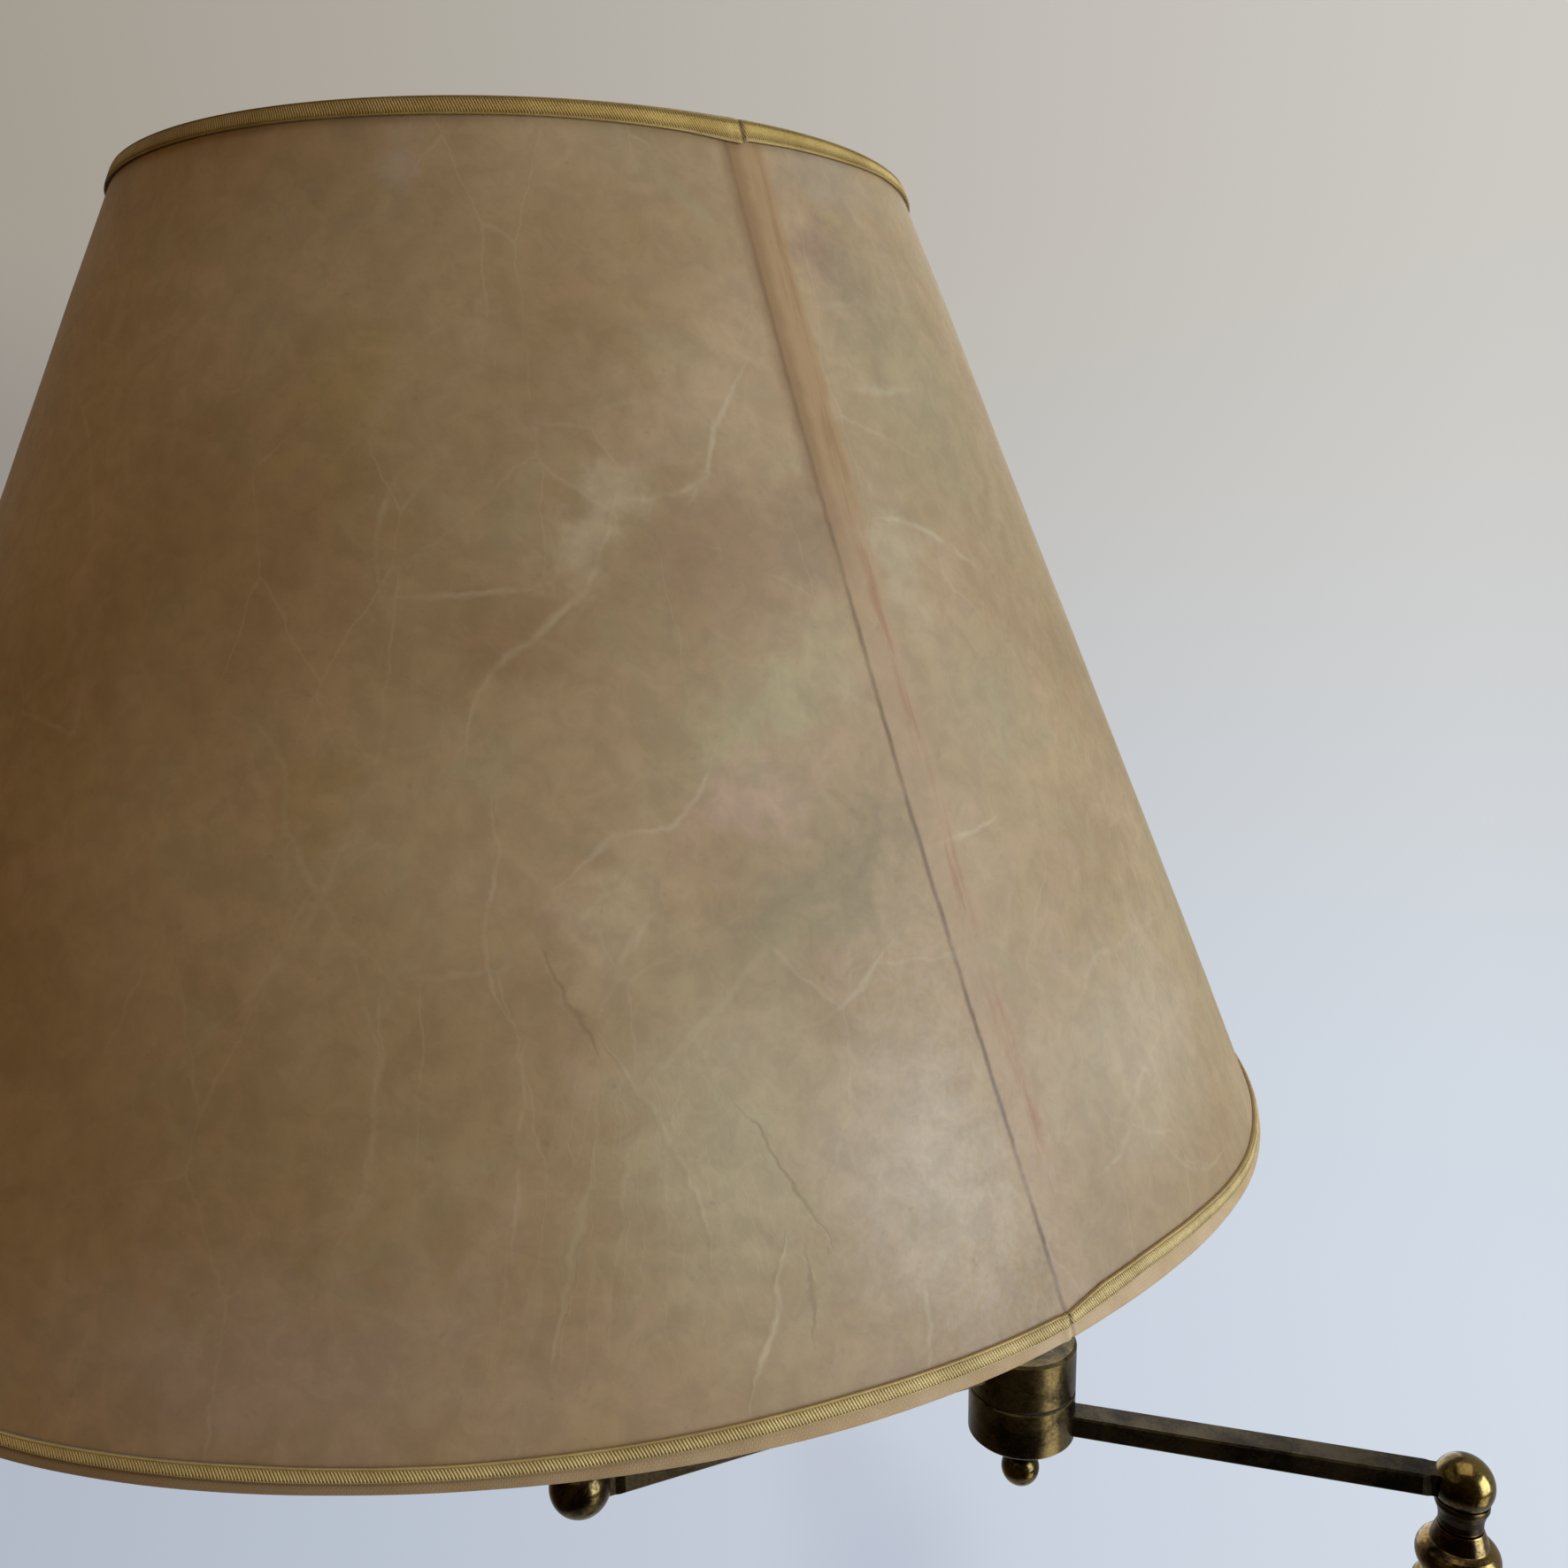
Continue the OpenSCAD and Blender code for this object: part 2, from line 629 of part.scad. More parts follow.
module swivel_neck() {
    waist_top = -ball_flat - 2.5;
    color("#4a3f2a") at_stem_ball() difference() {
        turned([[0, -neck_end], [neck_r - seam_bevel, -neck_end], [neck_r, -neck_end + seam_bevel],
            [neck_r, waist_top - 2.5], [neck_r + seam_bevel, waist_top], [neck_cup_r, -ball_flat],
            [neck_cup_r, cup_lip_h - ball_flat], [0, cup_lip_h - ball_flat]]);
        sphere(r = ball_r + slip);
        translate([0, 0, -ball_flat]) cylinder(h = ball_r, r = neck_cup_r - cup_lip_t);
        translate([0, 0, -neck_end - eps]) cylinder(h = neck_end + eps, r = rod_r + run);
        translate([0, 0, -grub_z]) x_hole(grub_r, 0, neck_cup_r + eps);
    }
}

module swivel_grub_screw() {
    tip = rod_r - groove_d + air;
    color("#2a2a2a") at_stem_ball() translate([0, 0, -grub_z]) x_hole(grub_r, tip, neck_r - grub_inset);
}

module stem_ball() { color("#8f7a45") at_stem_ball() arm_ball(-1, rod_r + run); }

module lower_arm_bar() {
    at_stem_ball() hollow_bar(-ball_socket, bar_seat - lower_arm_len, -1);
}

module elbow_lower_drum() { color("#7a6638") at_elbow() drum_half_body(0, bolt_thread_r + slip); }

module elbow_washer() {
    color("#17130f") at_elbow() translate([0, 0, -half_gap]) ring(washer_out_r, washer_in_r, washer_t);
}

module elbow_bolt() {
    head_z = drum_half + spring_washer_t + air;
    thread_z = -drum_half + drum_floor;
    color("#6b5a36") at_elbow() difference() {
        union() {
            translate([0, 0, head_z]) turned([[0, 0], [bolt_head_r, 0],
                [bolt_head_r, bolt_head_h * 0.6], [bolt_head_r - bolt_head_h * 0.4, bolt_head_h],
                [0, bolt_head_h]]);
            translate([0, 0, thread_z]) cylinder(h = head_z - thread_z + eps / 2, r = bolt_r);
            translate([0, 0, -drum_half - knob_drop + air]) cylinder(h = knob_drop + drum_half,
                r = bolt_thread_r);
        }
        translate([-bolt_head_r - eps, -slot_w / 2, head_z + bolt_head_h - slot_depth])
            cube([2 * (bolt_head_r + eps), slot_w, bolt_head_h]);
    }
}

module elbow_spring_washer() {
    color("#8c8a80") at_elbow() translate([0, 0, drum_half + air])
        ring(bolt_head_r - 0.5, bolt_r + slip, spring_washer_t);
}

module lower_arm_wire() {
    at_stem_ball()
        arm_wire(0, -wire_bend - wire_tail, elbow_wire_r - lower_arm_len, arm_rise / 2 - half_gap);
}

module elbow_knob() {
    top = -drum_half - air;
    centre = -drum_half - knob_drop;
    color("#7a6638") at_elbow() difference() {
        union() {
            translate([0, 0, centre]) sphere(r = knob_r);
            turned([[0, centre], [knob_waist_r, centre], [knob_waist_r, top - knob_flange_h - 1],
                [knob_neck_r, top - knob_flange_h], [knob_neck_r, top - seam_bevel],
                [knob_neck_r - seam_bevel, top], [0, top]]);
        }
        translate([0, 0, centre]) cylinder(h = top - centre + eps, r = bolt_thread_r + run);
    }
}

// ---- Upper arm ----

module elbow_upper_drum() {
    color("#8a7440") at_elbow() mirror([0, 0, 1]) drum_half_body(180 + elbow_bend, bolt_r + run);
}

module upper_arm_bar() {
    at_upper_arm() hollow_bar(ball_socket - upper_arm_len, -bar_seat, 1);
}

module holder_ball() {
    color("#8f7a45") at_holder() translate([0, 0, holder_ball_z]) mirror([0, 0, 1])
        arm_ball(1, rod_hole_r);
}

module holder_rod() {
    z0 = holder_ball_z + rod_top;
    color("#8c8a80") at_holder() translate([0, 0, z0]) ring(rod_r, rod_bore_r, rod_end_z - z0);
}

module holder_collar() {
    color("#7d6838") at_holder() translate([0, 0, holder_ball_z + ball_flat]) difference() {
        turned(concat([[0, 0], [sleeve_r, 0]],
            arc(sleeve_r, collar_h / 2, collar_swell, collar_h / 2 - 0.2, -80, 80, 10),
            [[sleeve_r, collar_h], [0, collar_h]]));
        translate([0, 0, -eps]) cylinder(h = collar_h + 2 * eps, r = rod_hole_r);
    }
}

module holder_sleeve() {
    z0 = holder_ball_z + ball_flat + collar_h;
    color("#8a7440") at_holder() translate([0, 0, z0]) ring(sleeve_r, rod_hole_r, socket_z - z0);
}

module upper_arm_wire() {
    at_upper_arm() arm_wire(-elbow_wire_r, half_gap - arm_rise / 2, -upper_arm_len,
        wire_end_z - holder_ball_z);
}

// ---- Socket ----

module socket_cup() {
    foot = sleeve_r + 2;
    round_h = cup_h - cup_wall_h;
    color("#8a7440") at_holder() translate([0, 0, socket_z]) difference() {
        turned(concat([[0, 0], [foot, 0]], arc(foot, round_h, shell_r - foot, round_h, -90, 0, 10),
            [[shell_r, cup_h], [0, cup_h]]));
        turned(concat([[0, cup_floor], [foot - shell_wall, cup_floor]],
            arc(foot - shell_wall, round_h, shell_r - foot, round_h - cup_floor, -90, 0, 10),
            [[shell_r - shell_wall, cup_h + eps], [0, cup_h + eps]]));
        translate([0, 0, -eps]) cylinder(h = cup_h, r = rod_hole_r);
        translate([0, 0, switch_z - socket_z]) rotate([0, 0, switch_dir - elbow_bend])
            x_hole(switch_body_r + slip, shell_r / 2, shell_r + eps);
    }
}

module socket_shell() {
    color("#8a7440") at_holder() translate([0, 0, shell_z])
        ring(shell_r, shell_r - shell_wall, shell_h);
}

module socket_insert() {
    color("#e9e4d8") at_holder() difference() {
        translate([0, 0, insert_z]) cylinder(h = shell_top - insert_inset - insert_z, r = insert_r);
        translate([0, 0, screw_z]) cylinder(h = shell_h, r = screw_out_r + slip);
        translate([0, 0, insert_z - eps]) for (s = [-1, 1]) translate([s * terminal_x, 0, 0])
            cylinder(h = terminal_pocket + eps, r = terminal_r + slip);
    }
}

module socket_screw_shell() {
    color("#b08d45") at_holder() translate([0, 0, screw_z])
        ring(screw_out_r, screw_r, shell_top - screw_inset - screw_z);
}

module socket_contact() {
    color("#b08d45") at_holder() translate([0, 0, screw_z]) cylinder(h = contact_h, r = contact_r);
}

module socket_terminals() {
    color("#b08d45") at_holder() translate([0, 0, insert_z + terminal_pocket - terminal_h]) for (s = [-1, 1])
        translate([s * terminal_x, 0, 0]) cylinder(h = terminal_h - air / 2, r = terminal_r);
}

module at_switch() {
    at_holder() rotate([0, 0, switch_dir - elbow_bend]) translate([0, 0, switch_z]) children();
}

module switch_body() {
    color("#1d1a18") at_switch() difference() {
        x_hole(switch_body_r, switch_face - switch_body_len, switch_face);
        x_hole(spindle_r + run, switch_face - switch_body_len - eps, switch_face + eps);
    }
}
module switch_spindle() {
    x0 = switch_face - switch_body_len + seam_bevel;
    color("#b08d45") at_switch() x_hole(spindle_r, x0, switch_face + switch_len - spindle_grip);
}
module switch_knob() {
    x0 = switch_face + air;
    color("#1d1a18") at_switch() difference() {
        union() {
            x_hole(switch_r, x0, x0 + switch_len * knob_step);
            x_hole(switch_r - 1, x0, x0 + switch_len);
        }
        x_hole(spindle_r + lay, x0 - eps, x0 + switch_len - spindle_grip);
    }
}

// ---- Shade ----

module shade_seat_ring() {
    color("#2a2622") at_holder() translate([0, 0, hub_z - seat_h])
        ring(hub_out_r - 1, shell_r + slip, seat_h);
}
module shade_clamp_ring() {
    color("#2a2622") at_holder() translate([0, 0, hub_z + hub_t])
        ring(hub_out_r - 1, shell_r + slip, clamp_h);
}

// The spokes as cylinders of radius r, from the hub to the lower wire ring
module spoke_rods(r) {
    span = bottom_ring_r - spoke_in_r;
    for (i = [0:spokes - 1]) rotate([0, 0, 90 + 360 * i / spokes])
        translate([spoke_in_r, 0, hub_rise + hub_t / 2]) rotate([0, 90 + atan2(spoke_fall, span), 0])
            cylinder(h = sqrt(span * span + spoke_fall * spoke_fall), r = r);
}

module shade_spider() {
    color("#d8d2c2") at_shade() {
        translate([0, 0, hub_rise]) ring(hub_out_r, hub_in_r, hub_t);
        spoke_rods(spoke_r);
        translate([0, 0, bottom_ring_z]) rotate_extrude() translate([bottom_ring_r, 0])
            circle(r = wire_ring_r, $fn = 48);
    }
}

module shade_top_wire() {
    color("#d8d2c2") at_shade() translate([0, 0, top_ring_z]) rotate_extrude()
        translate([top_ring_r, 0]) circle(r = wire_ring_r, $fn = 48);
}

// A conical band between heights z0 and z1, inset from the shade's outer face, of level thickness t
module band(z0, z1, inset, t) {
    turned([[shade_r(z0) - inset - t, z0], [shade_r(z0) - inset, z0], [shade_r(z1) - inset, z1],
        [shade_r(z1) - inset - t, z1]]);
}

module shade_lining() {
    color("#efe9da") at_shade()
        band(bind_t + lay, shade_h - bind_t - lay, trim_t + leather_t + lay, lining_t - 2 * lay);
}

module leather_cover() {
    seam_turn = seam_w / leather_bottom_r * 180 / PI;
    lap = braid_t * 0.7;
    z0 = bottom_trim_h + trim_edge;
    z1 = shade_h - top_trim_h - trim_edge;
    r0 = shade_r(z0) - trim_t;
    r1 = shade_r(z1) - trim_t;
    color("#a48a62") at_shade() {
        band(bind_t + lay, shade_h - bind_t - lay, trim_t + lay, leather_t - lay);
        rotate([0, 0, seam_dir]) rotate_extrude(angle = seam_turn)
            polygon([[r0 - leather_t / 2, z0], [r0 + lap, z0], [r1 + lap, z1], [r1 - leather_t / 2, z1]]);
    }
}

// The tape that wraps the lower rim and its wire: an outer leg, the edge and an inner leg
module bottom_binding() {
    inner = trim_t + wall_t + fold_w;
    end_z = max(bottom_trim_h, fold_h) + eps;
    color("#b8a077") at_shade() difference() {
        union() {
            band(0, fold_h, braid_t, inner + bind_t - braid_t);
            band(fold_h / 2, bottom_trim_h, braid_t, bind_t);
        }
        band(bind_t, end_z, trim_t, wall_t);
        band(bottom_trim_h, end_z, braid_t - eps, bind_t + 2 * eps);
        band(bind_t, fold_h - bind_t, trim_t, inner - trim_t);
        spoke_rods(spoke_r + air);
    }
}
module bottom_braid() {
    color("#b59a4c") at_shade() band(bottom_braid_z0, bottom_trim_h - trim_edge, 0, braid_t - lay);
}
module top_binding() {
    inner = trim_t + wall_t + fold_w;
    end_z = shade_h - max(top_trim_h, fold_h) - eps;
    color("#9a8252") at_shade() difference() {
        union() {
            band(shade_h - fold_h, shade_h, braid_t, inner + bind_t - braid_t);
            band(shade_h - top_trim_h, shade_h - fold_h / 2, braid_t, bind_t);
        }
        band(end_z, shade_h - bind_t, trim_t, wall_t);
        band(end_z, shade_h - top_trim_h, braid_t - eps, bind_t + 2 * eps);
        band(shade_h - fold_h + bind_t, shade_h - bind_t, trim_t, inner - trim_t);
    }
}
module top_braid() {
    z0 = shade_h - top_trim_h + trim_edge;
    color("#c9ad56") at_shade() band(z0, z0 + top_braid_h, 0, braid_t - lay);
}

// ---- Bulb ----

module bulb_cap() {
    color("#c2bfb6") at_holder() translate([0, 0, bulb_z]) difference() {
        turned([[0, 0], [cap_end_r, 0], [cap_r, cap_cone_h], [cap_r, cap_h], [0, cap_h]]);
        translate([0, 0, cap_wall]) turned([[0, 0], [cap_end_r - cap_wall, 0],
            [cap_r - cap_wall, cap_cone_h], [cap_r - cap_wall, cap_h], [0, cap_h]]);
        translate([0, 0, -eps]) cylinder(h = 2 * eps, r = tip_r);
    }
}
module bulb_contact() {
    color("#8c8a80") at_holder() translate([0, 0, bulb_z - tip_h]) {
        cylinder(h = tip_h, r = tip_face_r);
        translate([0, 0, tip_face_h]) cylinder(h = tip_h + cap_wall, r = tip_r - slip);
    }
}

// Outline of the bulb's glass, shrunk by inset: a neck that swells into the globe
function glass_outline(inset) = let (r = bulb_r - inset, n = neck_glass_r - inset,
        meet = -acos((n + (bulb_r - neck_glass_r) * 0.25) / r * 0.98))
    concat([[0, glass_z - globe_z + inset], [n, glass_z - globe_z + inset],
        [n, glass_z - globe_z + glass_neck_h]], arc(0, 0, r, r, meet, 90, 24));

module bulb_glass() {
    color([0.95, 0.93, 0.88, 0.6]) at_holder() translate([0, 0, globe_z]) difference() {
        turned(glass_outline(0));
        turned(glass_outline(glass_wall));
    }
}

base_felt();
base_weight();
base_cover();
base_washer();
base_nut();
cord_inlet_bush();
tie_rod();
stem_foot();
stem_lower_tube();
stem_coupling();
stem_upper_tube();
stem_capital();
stem_bead();
stem_wire();
swivel_neck();
swivel_grub_screw();
stem_ball();
lower_arm_bar();
elbow_lower_drum();
elbow_washer();
elbow_bolt();
elbow_spring_washer();
lower_arm_wire();
elbow_knob();
elbow_upper_drum();
upper_arm_bar();
holder_ball();
holder_rod();
holder_sleeve();
holder_collar();
upper_arm_wire();
socket_cup();
socket_shell();
socket_insert();
socket_screw_shell();
socket_contact();
socket_terminals();
switch_body();
switch_spindle();
switch_knob();
shade_seat_ring();
shade_clamp_ring();
shade_spider();
shade_top_wire();
shade_lining();
leather_cover();
bottom_binding();
bottom_braid();
top_binding();
top_braid();
bulb_cap();
bulb_glass();
bulb_contact();
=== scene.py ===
"""Looks of a bridge floor lamp: brass stem and swinging arms, and a leather shade edged with gold braid.

Metres throughout, in the part's own frame: the origin is under the base, +Z is up.
"""

import logging
import math
from dataclasses import dataclass, field
from enum import Enum
from typing import Callable, Iterable, Sequence

import bpy
import numpy as np
from mathutils import Matrix, Vector, noise

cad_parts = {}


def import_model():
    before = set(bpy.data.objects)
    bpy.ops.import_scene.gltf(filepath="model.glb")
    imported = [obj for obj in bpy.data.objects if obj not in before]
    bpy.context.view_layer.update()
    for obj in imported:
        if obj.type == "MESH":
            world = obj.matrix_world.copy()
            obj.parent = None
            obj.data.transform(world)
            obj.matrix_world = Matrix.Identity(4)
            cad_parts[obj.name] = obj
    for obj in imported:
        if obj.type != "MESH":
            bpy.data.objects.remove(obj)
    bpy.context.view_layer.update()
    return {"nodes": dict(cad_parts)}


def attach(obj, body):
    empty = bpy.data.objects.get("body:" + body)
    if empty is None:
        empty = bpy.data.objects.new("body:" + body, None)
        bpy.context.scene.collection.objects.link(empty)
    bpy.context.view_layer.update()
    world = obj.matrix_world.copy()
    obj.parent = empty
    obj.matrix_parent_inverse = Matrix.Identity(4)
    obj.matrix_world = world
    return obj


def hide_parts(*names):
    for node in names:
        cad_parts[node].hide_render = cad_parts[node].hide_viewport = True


LOG = logging.getLogger("lamp")
MM = 0.001
HOLDER_AXIS = (-0.276791, -0.110218)  # where the socket, the bulb and the shade stand, seen from above

Socket = bpy.types.NodeSocket
Point = tuple[float, float]
Colour = tuple[float, float, float, float]
Inputs = dict[str | int, object]


def tone(code: str) -> Colour:
    """Turns a screen colour into a linear one.

    Args:
        code: Six hexadecimal digits, red first.

    Returns:
        The linear colour, opaque.
    """
    parts = [int(code[i:i + 2], 16) / 255 for i in (0, 2, 4)]
    return (*[p / 12.92 if p <= 0.04045 else ((p + 0.055) / 1.055) ** 2.4 for p in parts], 1.0)


def darker(code: str, share: float) -> Colour:
    """Gives a screen colour as a linear one of which only a share is left."""
    return (*[share * part for part in tone(code)[:3]], 1.0)


# ---------------------------------------------------------------- node trees


class Tree:
    """Short calls that build a node tree."""

    def __init__(self, tree: bpy.types.NodeTree) -> None:
        """Keeps the tree that the calls add to.

        Args:
            tree: The tree of a material, a world or a group.
        """
        self.tree = tree

    def add(self, kind: str, inputs: Inputs | None = None, **settings: object) -> bpy.types.Node:
        """Adds a node.

        Args:
            kind: The node's type.
            inputs: What each of its inputs gets, by name or number.
            **settings: Attributes to set on it.

        Returns:
            The new node.
        """
        node = self.tree.nodes.new(kind)
        for name, value in settings.items():
            setattr(node, name, value)
        self.fill(node, inputs or {})
        return node

    def fill(self, node: bpy.types.Node, inputs: Inputs) -> None:
        """Links or sets some inputs of a node.

        Args:
            node: The node.
            inputs: What each of its inputs gets, by name or number.
        """
        for key, value in inputs.items():
            self.feed(node.inputs[key], value)

    def feed(self, target: Socket, value: object) -> None:
        """Links a socket into an input, or sets the input to a plain value.

        Args:
            target: The input socket.
            value: An output socket, a number or a tuple.
        """
        if isinstance(value, bpy.types.NodeSocket):
            self.tree.links.new(value, target)
        else:
            target.default_value = value

    def math(self, operation: str, *values: object) -> Socket:
        """Adds a Math node.

        Args:
            operation: The node's operation.
            *values: Its inputs in order.

        Returns:
            The result.
        """
        return self.add("ShaderNodeMath", dict(enumerate(values)), operation=operation).outputs[0]

    def times(self, first: object, second: object) -> Socket:
        """Multiplies two numbers."""
        return self.math("MULTIPLY", first, second)

    def plus(self, first: object, second: object) -> Socket:
        """Adds two numbers."""
        return self.math("ADD", first, second)

    def minus(self, first: object, second: object) -> Socket:
        """Takes the second number from the first."""
        return self.math("SUBTRACT", first, second)

    def larger(self, first: object, second: object) -> Socket:
        """Gives the larger of two numbers."""
        return self.math("MAXIMUM", first, second)

    def split(self, vector: Socket) -> list[Socket]:
        """Gives a vector's three numbers."""
        return list(self.add("ShaderNodeSeparateXYZ", {0: vector}).outputs)

    def combined(self, *values: object) -> Socket:
        """Makes a vector of up to three numbers."""
        return self.add("ShaderNodeCombineXYZ", dict(enumerate(values))).outputs[0]

    def attribute(self, name: str) -> Socket:
        """Reads a number that the mesh carries."""
        return self.add("ShaderNodeAttribute", attribute_type="GEOMETRY", attribute_name=name).outputs["Fac"]

    def vector(self, operation: str, *values: object, **named: object) -> Socket:
        """Adds a Vector Math node.

        Args:
            operation: The node's operation.
            *values: Its vector inputs in order.
            **named: Other inputs by name.

        Returns:
            The vector result, or the number of an operation that gives one.
        """
        node = self.add("ShaderNodeVectorMath", {**dict(enumerate(values)), **named}, operation=operation)
        return node.outputs["Value" if operation in ("DOT_PRODUCT", "LENGTH", "DISTANCE") else "Vector"]

    def mix(self, factor: object, first: object, second: object) -> Socket:
        """Adds a colour mix.

        Args:
            factor: How much of the second colour shows.
            first: The colour at 0.
            second: The colour at 1.

        Returns:
            The mixed colour.
        """
        return self.add("ShaderNodeMix", {0: factor, 6: first, 7: second}, data_type="RGBA").outputs[2]

    def span(self, value: object, low: float, high: float, to_low: float = 0.0, to_high: float = 1.0,
             smooth: bool = True) -> Socket:
        """Maps a number from one range to another and keeps it there.

        Args:
            value: The number.
            low: Where the first range starts.
            high: Where it ends.
            to_low: The result at its start.
            to_high: The result at its end.
            smooth: Whether the ends are eased.

        Returns:
            The mapped number.
        """
        return self.add("ShaderNodeMapRange", dict(enumerate((value, low, high, to_low, to_high))),
                        interpolation_type="SMOOTHSTEP" if smooth else "LINEAR").outputs[0]

    def noise(self, place: object, scale: float, detail: float = 3.0, rough: float = 0.55,
              twist: float = 0.0, colour: bool = False) -> Socket:
        """Adds a noise texture.

        Args:
            place: Where it is read.
            scale: Its scale.
            detail: Its octaves.
            rough: How strong the fine octaves are.
            twist: Its distortion.
            colour: Whether it gives three numbers.

        Returns:
            The noise, about 0.5.
        """
        node = self.add("ShaderNodeTexNoise", {"Vector": place, "Scale": scale, "Detail": detail,
                                               "Roughness": rough, "Distortion": twist})
        return node.outputs["Color" if colour else 0]

    def stretched(self, place: object, scale: Sequence[float], turn: float = 0.0) -> Socket:
        """Stretches and turns coordinates.

        Args:
            place: The coordinates.
            scale: The factor along each axis.
            turn: The turn about the third axis, in degrees.

        Returns:
            The new coordinates.
        """
        return self.add("ShaderNodeMapping", {"Vector": place, "Scale": scale,
                                              "Rotation": (0, 0, math.radians(turn))}).outputs[0]

    def bump(self, height: Socket, distance: float, strength: float = 1.0) -> Socket:
        """Adds a bump.

        Args:
            height: The height, 0 to 1.
            distance: What a height of 1 is, in metres.
            strength: The bump's strength.

        Returns:
            The bent normal.
        """
        node = self.add("ShaderNodeBump", {"Strength": strength, "Distance": distance, "Height": height})
        return node.outputs[0]

    def use(self, group: bpy.types.NodeTree, **values: object) -> bpy.types.Node:
        """Places a group.

        Args:
            group: The group's tree.
            **values: Its inputs by name.

        Returns:
            The group's node.
        """
        node = self.add("ShaderNodeGroup", node_tree=group)
        self.fill(node, values)
        return node


class Effect(Enum):
    """The surface effects that several finishes share."""

    EDGE_WEAR = "edge_wear"
    PATINA = "patina"
    CLOTH = "cloth"
    OVAL_PATCH = "oval_patch"


class Effects:
    """Makes each shared shader group once and hands it out."""

    made: dict[Effect, bpy.types.NodeTree] = {}

    @classmethod
    def get(cls, effect: Effect) -> bpy.types.NodeTree:
        """Gives a shared group, and makes it at the first call.

        Args:
            effect: Which group.

        Returns:
            The group's tree.
        """
        if effect not in cls.made:
            cls.made[effect] = getattr(cls, effect.value)()
        return cls.made[effect]

    @staticmethod
    def start(name: str, inputs: Sequence[tuple[str, str, object]],
              outputs: Sequence[str]) -> tuple[Tree, bpy.types.Node, bpy.types.Node]:
        """Starts a group.

        Args:
            name: The group's name.
            inputs: Each input's name, kind and value.
            outputs: The names of its outputs, all numbers.

        Returns:
            The tree, its input node and its output node.
        """
        group = bpy.data.node_groups.new(name, "ShaderNodeTree")
        for label, kind, value in inputs:
            item = group.interface.new_socket(name=label, in_out="INPUT", socket_type=f"NodeSocket{kind}")
            if kind == "Float":
                item.default_value = value
        for label in outputs:
            group.interface.new_socket(name=label, in_out="OUTPUT", socket_type="NodeSocketFloat")
        tree = Tree(group)
        return tree, tree.add("NodeGroupInput"), tree.add("NodeGroupOutput")

    @classmethod
    def edge_wear(cls) -> bpy.types.NodeTree:
        """Makes the mask of rubbed edges.

        Returns:
            The group.
        """
        t, given, out = cls.start("edge_wear", [("Place", "Vector", None), ("Width", "Float", 0.001),
                                                ("Patch", "Float", 120.0)], ["Mask"])
        bevel = t.add("ShaderNodeBevel", {"Radius": given.outputs["Width"]}, samples=4)
        flat = t.add("ShaderNodeNewGeometry").outputs["Normal"]
        bent = t.minus(1.0, t.vector("DOT_PRODUCT", bevel.outputs[0], flat))
        rub = t.noise(given.outputs["Place"], given.outputs["Patch"], 3)
        edge = t.span(bent, 0.01, 0.14)
        t.feed(out.inputs["Mask"], t.times(edge, t.span(rub, 0.36, 0.6)))
        return t.tree

    @classmethod
    def patina(cls) -> bpy.types.NodeTree:
        """Makes the cloudy tarnish, its fine pits and the lathe's lines.

        Returns:
            The group.
        """
        t, given, out = cls.start("patina", [("Place", "Vector", None), ("Cloud", "Float", 60.0),
                                             ("Lines", "Float", 0.3)], ["Tarnish", "Gloss", "Height"])
        place = given.outputs["Place"]
        cloud = t.noise(place, given.outputs["Cloud"], 6, 0.62, 0.4)
        fine = t.noise(place, 900.0, 3, 0.6)
        smear = t.noise(t.stretched(place, (90, 90, 900)), 1.0, 3, 0.6)
        pits = t.span(t.noise(place, 2600.0, 2), 0.6, 0.72)
        mixed = t.plus(t.times(cloud, 0.75), t.times(fine, 0.25))
        t.feed(out.inputs["Tarnish"], t.span(mixed, 0.38, 0.62))
        t.feed(out.inputs["Gloss"], t.plus(t.times(smear, 0.5), t.times(cloud, 0.5)))
        lines = t.times(smear, given.outputs["Lines"])
        t.feed(out.inputs["Height"], t.minus(t.plus(lines, t.times(fine, 0.3)),
                                            t.times(pits, 0.5)))
        return t.tree

    @classmethod
    def cloth(cls) -> bpy.types.NodeTree:
        """Makes a plain weave on coordinates in threads.

        Returns:
            The group.
        """
        t, given, out = cls.start("cloth", [("Threads", "Vector", None), ("Slub", "Float", 0.3)],
                                  ["Height", "Gap"])
        x, y, _ = t.split(given.outputs["Threads"])
        warp = t.math("ABSOLUTE", t.math("SINE", t.times(x, math.pi)))
        weft = t.math("ABSOLUTE", t.math("SINE", t.times(y, math.pi)))
        cell = t.plus(t.math("FLOOR", x), t.math("FLOOR", y))
        odd = t.math("FRACT", t.times(cell, 0.5))
        over = t.math("GREATER_THAN", odd, 0.25)
        top = t.plus(t.times(warp, over),
                     t.times(weft, t.minus(1.0, over)))
        slub = t.times(t.noise(given.outputs["Threads"], 0.35, 3), given.outputs["Slub"])
        t.feed(out.inputs["Height"], t.plus(top, slub))
        t.feed(out.inputs["Gap"], t.minus(1.0, t.times(warp, weft)))
        return t.tree

